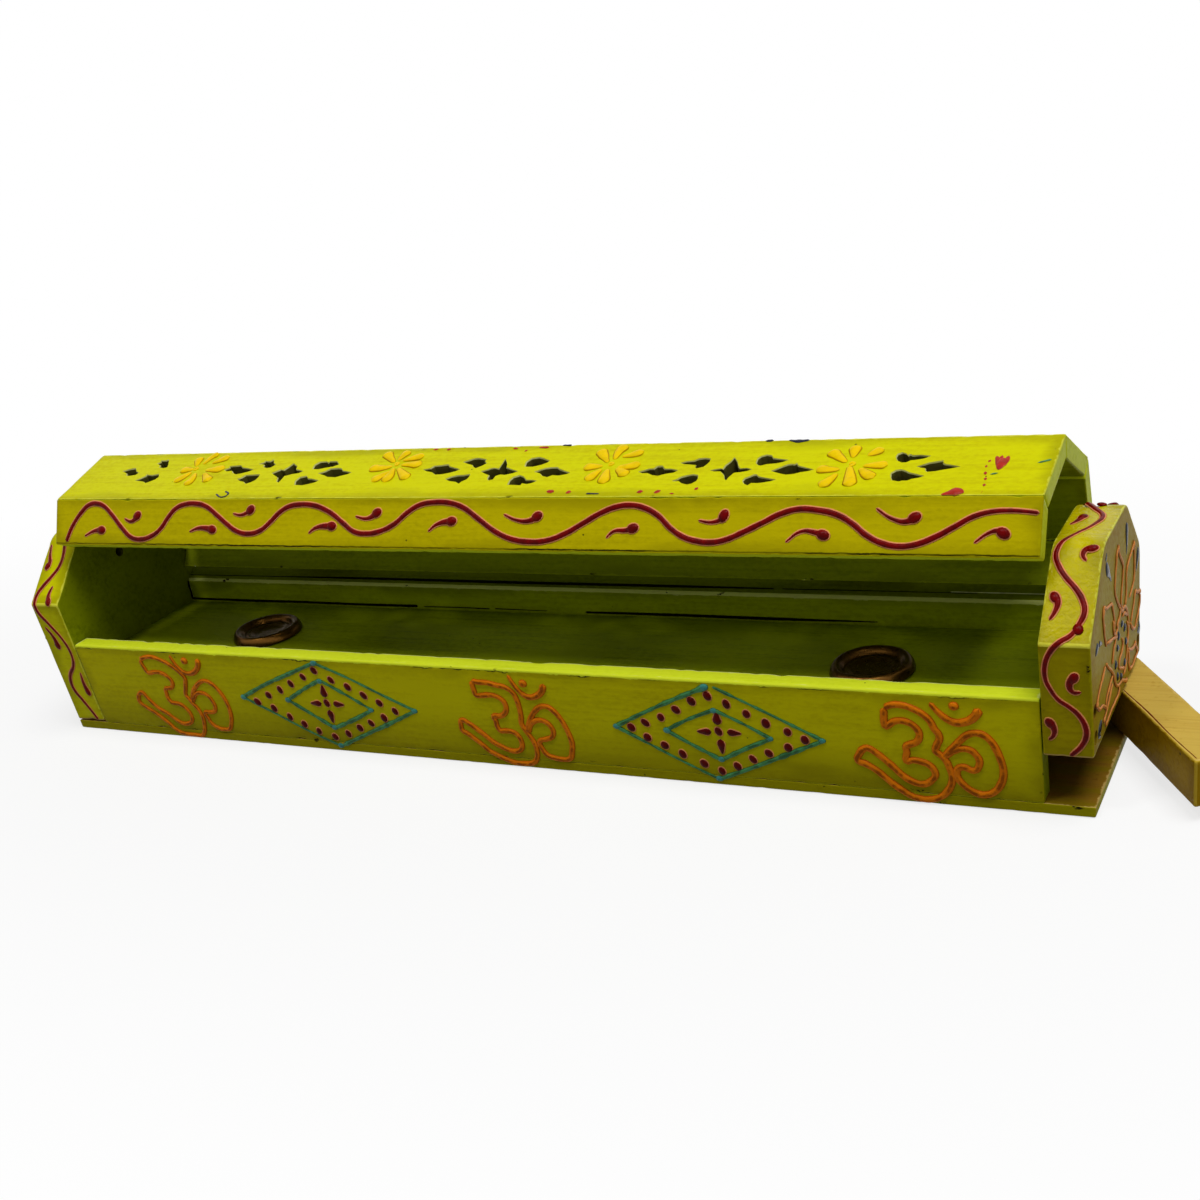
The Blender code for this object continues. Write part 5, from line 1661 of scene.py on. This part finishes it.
class OBJECT_OT_incense_box_lid_paint(bpy.types.Operator):
    """Paints the lid: red waves on its strips, yellow flowers and red remains on its slopes."""

    bl_idname = "object.incense_box_lid_paint"
    bl_label = "Lid paint"

    def execute(self, context):
        self.paint_strips()
        self.paint_slopes()
        self.paint_top()
        return {"FINISHED"}

    def paint_strips(self):
        strip = on_face(STRIP_FACE)
        wave = [(WAVE, (*(0.62,) * 12, 0.34))]
        paint_bled("lid_front_wave", wave, "red paint", strip, "lid", 0.14)
        paint_heads("lid_front_leaves", COMMAS, 1.15, strip, "lid")
        leaves = [(comma, COMMA_HALVES) for comma in COMMAS]
        paint_bled("lid_front_leaves", leaves, "red paint", strip, "lid", 0.08)
        strip = on_face(REAR_STRIP_FACE, rear=True)
        waves = [
            (squashed([point for point in WAVE if low < point[0] < high]), 0.6)
            for low, high in ((-138.0, -97.5), (-72.5, 72.5), (97.5, 138.0))
        ]
        paint_strokes("lid_rear_wave", waves, "red paint", strip, "lid", seed=3.0)
        clear = [comma for comma in COMMAS if not 70 < abs(comma[1][0]) < 99]
        leaves = [(squashed(comma), COMMA_HALVES) for comma in clear]
        paint_strokes("lid_rear_leaves", leaves, "red paint", strip, "lid", 0.08, seed=2.0)

    def paint_slopes(self):
        rims = [(petal, (0.62, 1.42, 1.92)) for petal in PETALS]
        petals = [(petal, (0.5, 1.25, 1.75)) for petal in PETALS]
        for x, y in FLOWER_MIDDLES:
            petals.append((((x - 0.5, y - 0.5), (x + 0.6, y), (x, y + 0.7), (x - 0.6, y)), 0.45))
        for name in ("front", "rear"):
            slope = on_face(SLOPE_FACE, rear=name == "rear")
            rim_paint = "ochre bled paint"
            paint_strokes(f"lid_{name}_flower_rims", rims, rim_paint, slope, "lid", 0.2, 0.12)
            paint_strokes(f"lid_{name}_flowers", petals, "yellow paint", slope, "lid", 0.22, 0.34)
        slope = on_face(SLOPE_FACE)
        for name, flecks, finish in (
            ("red", RED_FLECKS, "faded red paint"),
            ("dark", DARK_FLECKS, "blue-black paint"),
            ("teal", TEAL_FLECKS, "teal paint"),
        ):
            paint_strokes(f"lid_{name}_flecks", flecks, finish, slope, "lid", 0.5, 0.3)

    def paint_top(self):
        top = on_face(TOP_FACE)
        petals, drops = [], []
        for x in TOP_FLOWERS:
            for petal in range(7):
                angle = 2 * math.pi * petal / 7 + x
                away = Vector((math.cos(angle), math.sin(angle)))
                ends = [(x + end.x, TOP_MIDDLE + end.y) for end in (away * 3.0, away * 8.6)]
                petals.append((ends, (0.4, 1.15)))
                drops.append((x + away.x * 1.9, TOP_MIDDLE + away.y * 1.9, 0.6, 0.6, 0))
        for x in TOP_DROPS:
            drops += [
                (x, TOP_MIDDLE, 1.3, 0.9, 30), (x + 4.6, 3.2, 1.7, 0.8, 5),
                (x - 5, 2.4, 1.2, 0.7, 0), (x, 20, 1.4, 0.9, 60),
            ]
        paint_strokes("lid_top_flowers", petals, "red paint", top, "lid", 0.12)
        paint_dots("lid_top_drops", drops, "blue-black paint", top, "lid")


class OBJECT_OT_incense_box_wall_paint(bpy.types.Operator):
    """Paints both walls: orange signs, teal diamonds and dark red dots."""

    bl_idname = "object.incense_box_wall_paint"
    bl_label = "Wall paint"

    def execute(self, context):
        chance = random.Random(23)
        for name in ("front", "rear"):
            rear = name == "rear"
            wall = on_face(WALL_FACE, rear)
            lines, spots = [], []
            for (*parts, spot), half, away in zip(SIGNS, SIGN_HALVES, REAR_SIGN_SHIFTS):
                away = away if rear else 0
                widths = (half, half, (half * 0.7, half * 1.1, half * 1.3))
                for part, wide in zip(parts, widths):
                    lines.append(([(x, max(y, 0.9)) for x, y in moved(part, away)], wide))
                spots += [(x, y, 1.2, 1.1, 0) for x, y in moved(spot, away)]
            paint_strokes(f"{name}_signs", lines, "orange paint", wall, lumps=0.2, rise=0.6)
            paint_dots(f"{name}_sign_dots", spots, "orange paint", wall, rise=0.6)
            away = REAR_DIAMOND_SHIFT if rear else 0.0
            lines = [(moved(line, away), halves) for line, halves in DIAMONDS]
            paint_strokes(f"{name}_diamonds", lines, "teal paint", wall, lumps=0.7, rise=0.5)
            knots = moved(DIAMOND_KNOTS, away)
            paint_dots(f"{name}_knots", knots, "sea paint", wall, rise=0.55)
            dots = []
            for x, y in moved(DIAMOND_DOTS + DIAMOND_CENTRES, away):
                long, wide = chance.uniform(1.1, 1.32), chance.uniform(0.86, 1.06)
                dots.append((x, y, long, wide, chance.uniform(92, 140)))
            paint_dots(f"{name}_dot_halos", dots, "bled paint", wall, rise=0.12, spread=BLED)
            paint_dots(f"{name}_dots", dots, "dark red paint", wall, rise=0.6)
            petals = [
                (moved(line, x, y), halves)
                for x, y in moved(DIAMOND_CENTRES, away) for line, halves in CROSS_PETALS
            ]
            paint_bled(f"{name}_petals", petals, "dark red paint", wall, lumps=0.08, rise=0.6)
        return {"FINISHED"}


def lifted(points, side):
    """Draws low points together over the mouth of the store, where the right board ends."""
    low = min(y for line in END_PETALS for _, y in line)
    foot, top = STORE_MOUTH_TOP + 0.9, 20.0
    share = (top - foot) / (top - low)
    return [
        (x, foot + (y - low) * share if side > 0 and y < top else y, *rest)
        for x, y, *rest in points
    ]


class OBJECT_OT_incense_box_end_paint(bpy.types.Operator):
    """Paints the end boards: red vines round their rims, and a flower with drops on each face."""

    bl_idname = "object.incense_box_end_paint"
    bl_label = "End paint"

    def execute(self, context):
        for name, side, vine, leaves in (
            ("right", 1, RIGHT_VINE, RIGHT_LEAVES), ("left", -1, LEFT_VINE, LEFT_LEAVES)
        ):
            rim = on_rim(side)
            strokes = [(vine, VINE_HALVES)] + [(leaf, (0.26, 0.46, 0.7, 1.0)) for leaf in leaves]
            paint_heads(f"end_{name}_vine", leaves, 1.0, rim)
            paint_bled(f"end_{name}_vine", strokes, "red paint", rim, lumps=0.14)
            if side > 0:
                knots = [(7.7, 43.7, 1.3, 1.1, 60), (5.6, 1.6, 1.2, 0.8, 20)]
                paint_dots("end_right_knots", knots, "red paint", rim)
            behind = [(max(x, 1.2), y) for x, y in vine if y > 27]
            strokes = [([(vine[0][0], 25.4), *behind], 0.64)]
            strokes += [(leaf, (0.3, 0.5, 0.75, 1.0)) for leaf in leaves if leaf[0][1] > 26]
            rim = on_rim(side, rear=True)
            paint_strokes(f"end_{name}_rear_vine", strokes, "red paint", rim, lumps=0.14, seed=1.0)
            across = (0, 0, side, side * HALF_LENGTH)
            face = framed(Matrix((across, (side, 0, 0, 0), (0, 1, 0, 0), (0, 0, 0, 1))))
            petals = [(lifted(line, side), (0.42, 0.5, 0.4, 0.46)) for line in END_PETALS]
            paint_strokes(
                f"end_{name}_flower", petals, "salmon paint", face, lumps=0.24, rise=0.85
            )
            tips = lifted(END_TIPS, side)
            paint_dots(f"end_{name}_tips", tips, "salmon paint", face, rise=0.6)
            seeds = [(x, y, 1.1, 0.8, 40 * index) for index, (x, y) in enumerate(END_SEEDS)]
            paint_dots(f"end_{name}_seeds", seeds, "blue-black paint", face)
            drops = [(lifted(line, side), halves) for line, halves in END_DROPS]
            paint_strokes(
                f"end_{name}_drops", drops, "blue-black paint", face, lumps=0.06, rise=0.3
            )
        return {"FINISHED"}


# Stage

# The camera, solved from the photograph: turns, place in millimetres, and focal length and middle
# in pixels of a square picture
YAW, PITCH, ROLL = 0.531832, 0.476339, -0.177522
CAMERA_PLACE = Vector((208.329, -309.512, 172.607))
FOCAL, MIDDLE_ACROSS, MIDDLE_DOWN, PICTURE, SENSOR = 1508.92, 642.81, 766.79, 1200, 36
# Each lamp's place and size in metres, and its power in watts
LAMPS = {
    "key_light": ((0.46, -0.14, 1.52), 0.9, 15.8),
    "spark_light": ((-0.32, -0.58, 1.46), 0.22, 3.6),
}
LAMP_TARGET = Vector((0, 0, 0.03))
FLOOR_HALF, FLOOR_DROP = 3.0, 0.0002


def seen_rays(graph):
    """1 for rays that show a surface, also mirrored or through glass, and 0 for soft light."""
    rays = graph.node("ShaderNodeLightPath")
    return graph.most(rays, rays.other("Is Glossy Ray"), rays.other("Is Transmission Ray"))


class SCENE_OT_incense_box_stage(bpy.types.Operator):
    """Sets the camera, the pale floor, the soft lights and the white surroundings."""

    bl_idname = "scene.incense_box_stage"
    bl_label = "Stage"

    def execute(self, context):
        context.scene.view_settings.view_transform = "Standard"
        self.add_camera(context.scene)
        self.add_floor()
        self.add_world(context.scene)
        for name, (place, wide, power) in LAMPS.items():
            lamp = bpy.data.lights.new(name, "AREA")
            lamp.shape, lamp.size, lamp.energy = "DISK", wide, power
            aim = (LAMP_TARGET - Vector(place)).to_track_quat("-Z", "Y").to_matrix().to_4x4()
            new_piece(name, lamp).matrix_world = Matrix.Translation(place) @ aim
        return {"FINISHED"}

    def add_camera(self, scene):
        ahead = Vector((-math.sin(YAW), math.cos(YAW), 0))
        across = Vector((math.cos(YAW), math.sin(YAW), 0))
        up = Vector((0, 0, 1))
        forward = ahead * math.cos(PITCH) - up * math.sin(PITCH)
        above = up * math.cos(PITCH) + ahead * math.sin(PITCH)
        right = across * math.cos(ROLL) + above * math.sin(ROLL)
        above = above * math.cos(ROLL) - across * math.sin(ROLL)
        lens = bpy.data.cameras.new("camera")
        lens.sensor_width = SENSOR
        lens.lens = FOCAL / PICTURE * SENSOR
        lens.shift_x = (PICTURE / 2 - MIDDLE_ACROSS) / PICTURE
        lens.shift_y = (MIDDLE_DOWN - PICTURE / 2) / PICTURE
        lens.clip_start = 0.01
        scene.camera = new_piece("camera", lens)
        turned = Matrix((right, above, -forward)).transposed().to_4x4()
        scene.camera.matrix_world = Matrix.Translation(CAMERA_PLACE * MM) @ turned

    def add_floor(self):
        shape = bmesh.new()
        bmesh.ops.create_grid(shape, x_segments=8, y_segments=8, size=FLOOR_HALF)
        shape.transform(Matrix.Translation((0, 0, -FLOOR_DROP)))
        floor = to_piece("floor", shape)
        material = bpy.data.materials.new("floor")
        graph = node_graph(material)
        graph.tree.nodes.clear()
        seen = seen_rays(graph)
        squeezed = graph.placed(scale=(0.5, 1.0, 1.0))
        away = graph.node("ShaderNodeVectorMath", {0: squeezed}, 1, operation="LENGTH")
        pale = graph.node("ShaderNodeBsdfDiffuse", {"Color": (0.95, 0.95, 0.95, 1)})
        dim = graph.node("ShaderNodeBsdfDiffuse", {"Color": (0.32, 0.32, 0.32, 1)})
        white = graph.node("ShaderNodeEmission", {"Color": (1, 1, 1, 1), "Strength": 1.0})
        bright = 0.74 + graph.step(away, 0.06, 0.24) * 0.26
        shown = graph.node("ShaderNodeMixShader", {0: bright, 1: pale, 2: white})
        surface = graph.node("ShaderNodeMixShader", {0: seen, 1: dim, 2: shown})
        graph.node("ShaderNodeOutputMaterial", {0: surface})
        floor.data.materials.append(material)

    def add_world(self, scene):
        scene.world = bpy.data.worlds.new("surroundings")
        graph = node_graph(scene.world)
        graph.tree.nodes.clear()
        sockets = {"Color": (1, 1, 1, 1), "Strength": 0.17 + seen_rays(graph) * 0.83}
        white = graph.node("ShaderNodeBackground", sockets)
        graph.node("ShaderNodeOutputWorld", {0: white})


# Panel and registration

OPERATORS = (
    OBJECT_OT_incense_box_body,
    OBJECT_OT_incense_box_lid,
    OBJECT_OT_incense_box_door,
    OBJECT_OT_incense_box_metal,
    OBJECT_OT_incense_box_seams,
    OBJECT_OT_incense_box_lid_paint,
    OBJECT_OT_incense_box_wall_paint,
    OBJECT_OT_incense_box_end_paint,
    SCENE_OT_incense_box_stage,
)


class VIEW3D_PT_incense_box(bpy.types.Panel):
    """Lists the steps that build the incense box."""

    bl_idname = "VIEW3D_PT_incense_box"
    bl_label = "Incense Box"
    bl_space_type = "VIEW_3D"
    bl_region_type = "UI"
    bl_category = "Incense Box"

    def draw(self, context):
        layout = self.layout
        for operator in OPERATORS:
            layout.operator(operator.bl_idname)
        for settings in (context.scene.incense_box_sizes, context.scene.incense_box_colours):
            box = layout.box()
            for name in settings.bl_rna.properties.keys():
                if name not in ("rna_type", "name"):
                    box.prop(settings, name)


CLASSES = (IncenseBoxSizes, IncenseBoxColours, *OPERATORS, VIEW3D_PT_incense_box)


def register():
    for kind in CLASSES:
        bpy.utils.register_class(kind)
    bpy.types.Scene.incense_box_sizes = bpy.props.PointerProperty(type=IncenseBoxSizes)
    bpy.types.Scene.incense_box_colours = bpy.props.PointerProperty(type=IncenseBoxColours)


def unregister():
    del bpy.types.Scene.incense_box_colours
    del bpy.types.Scene.incense_box_sizes
    for kind in reversed(CLASSES):
        bpy.utils.unregister_class(kind)


def main():
    register()
    for operator in OPERATORS:
        group, name = operator.bl_idname.split(".")
        getattr(getattr(bpy.ops, group), name)()
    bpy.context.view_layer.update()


if __name__ == "__main__":
    main()
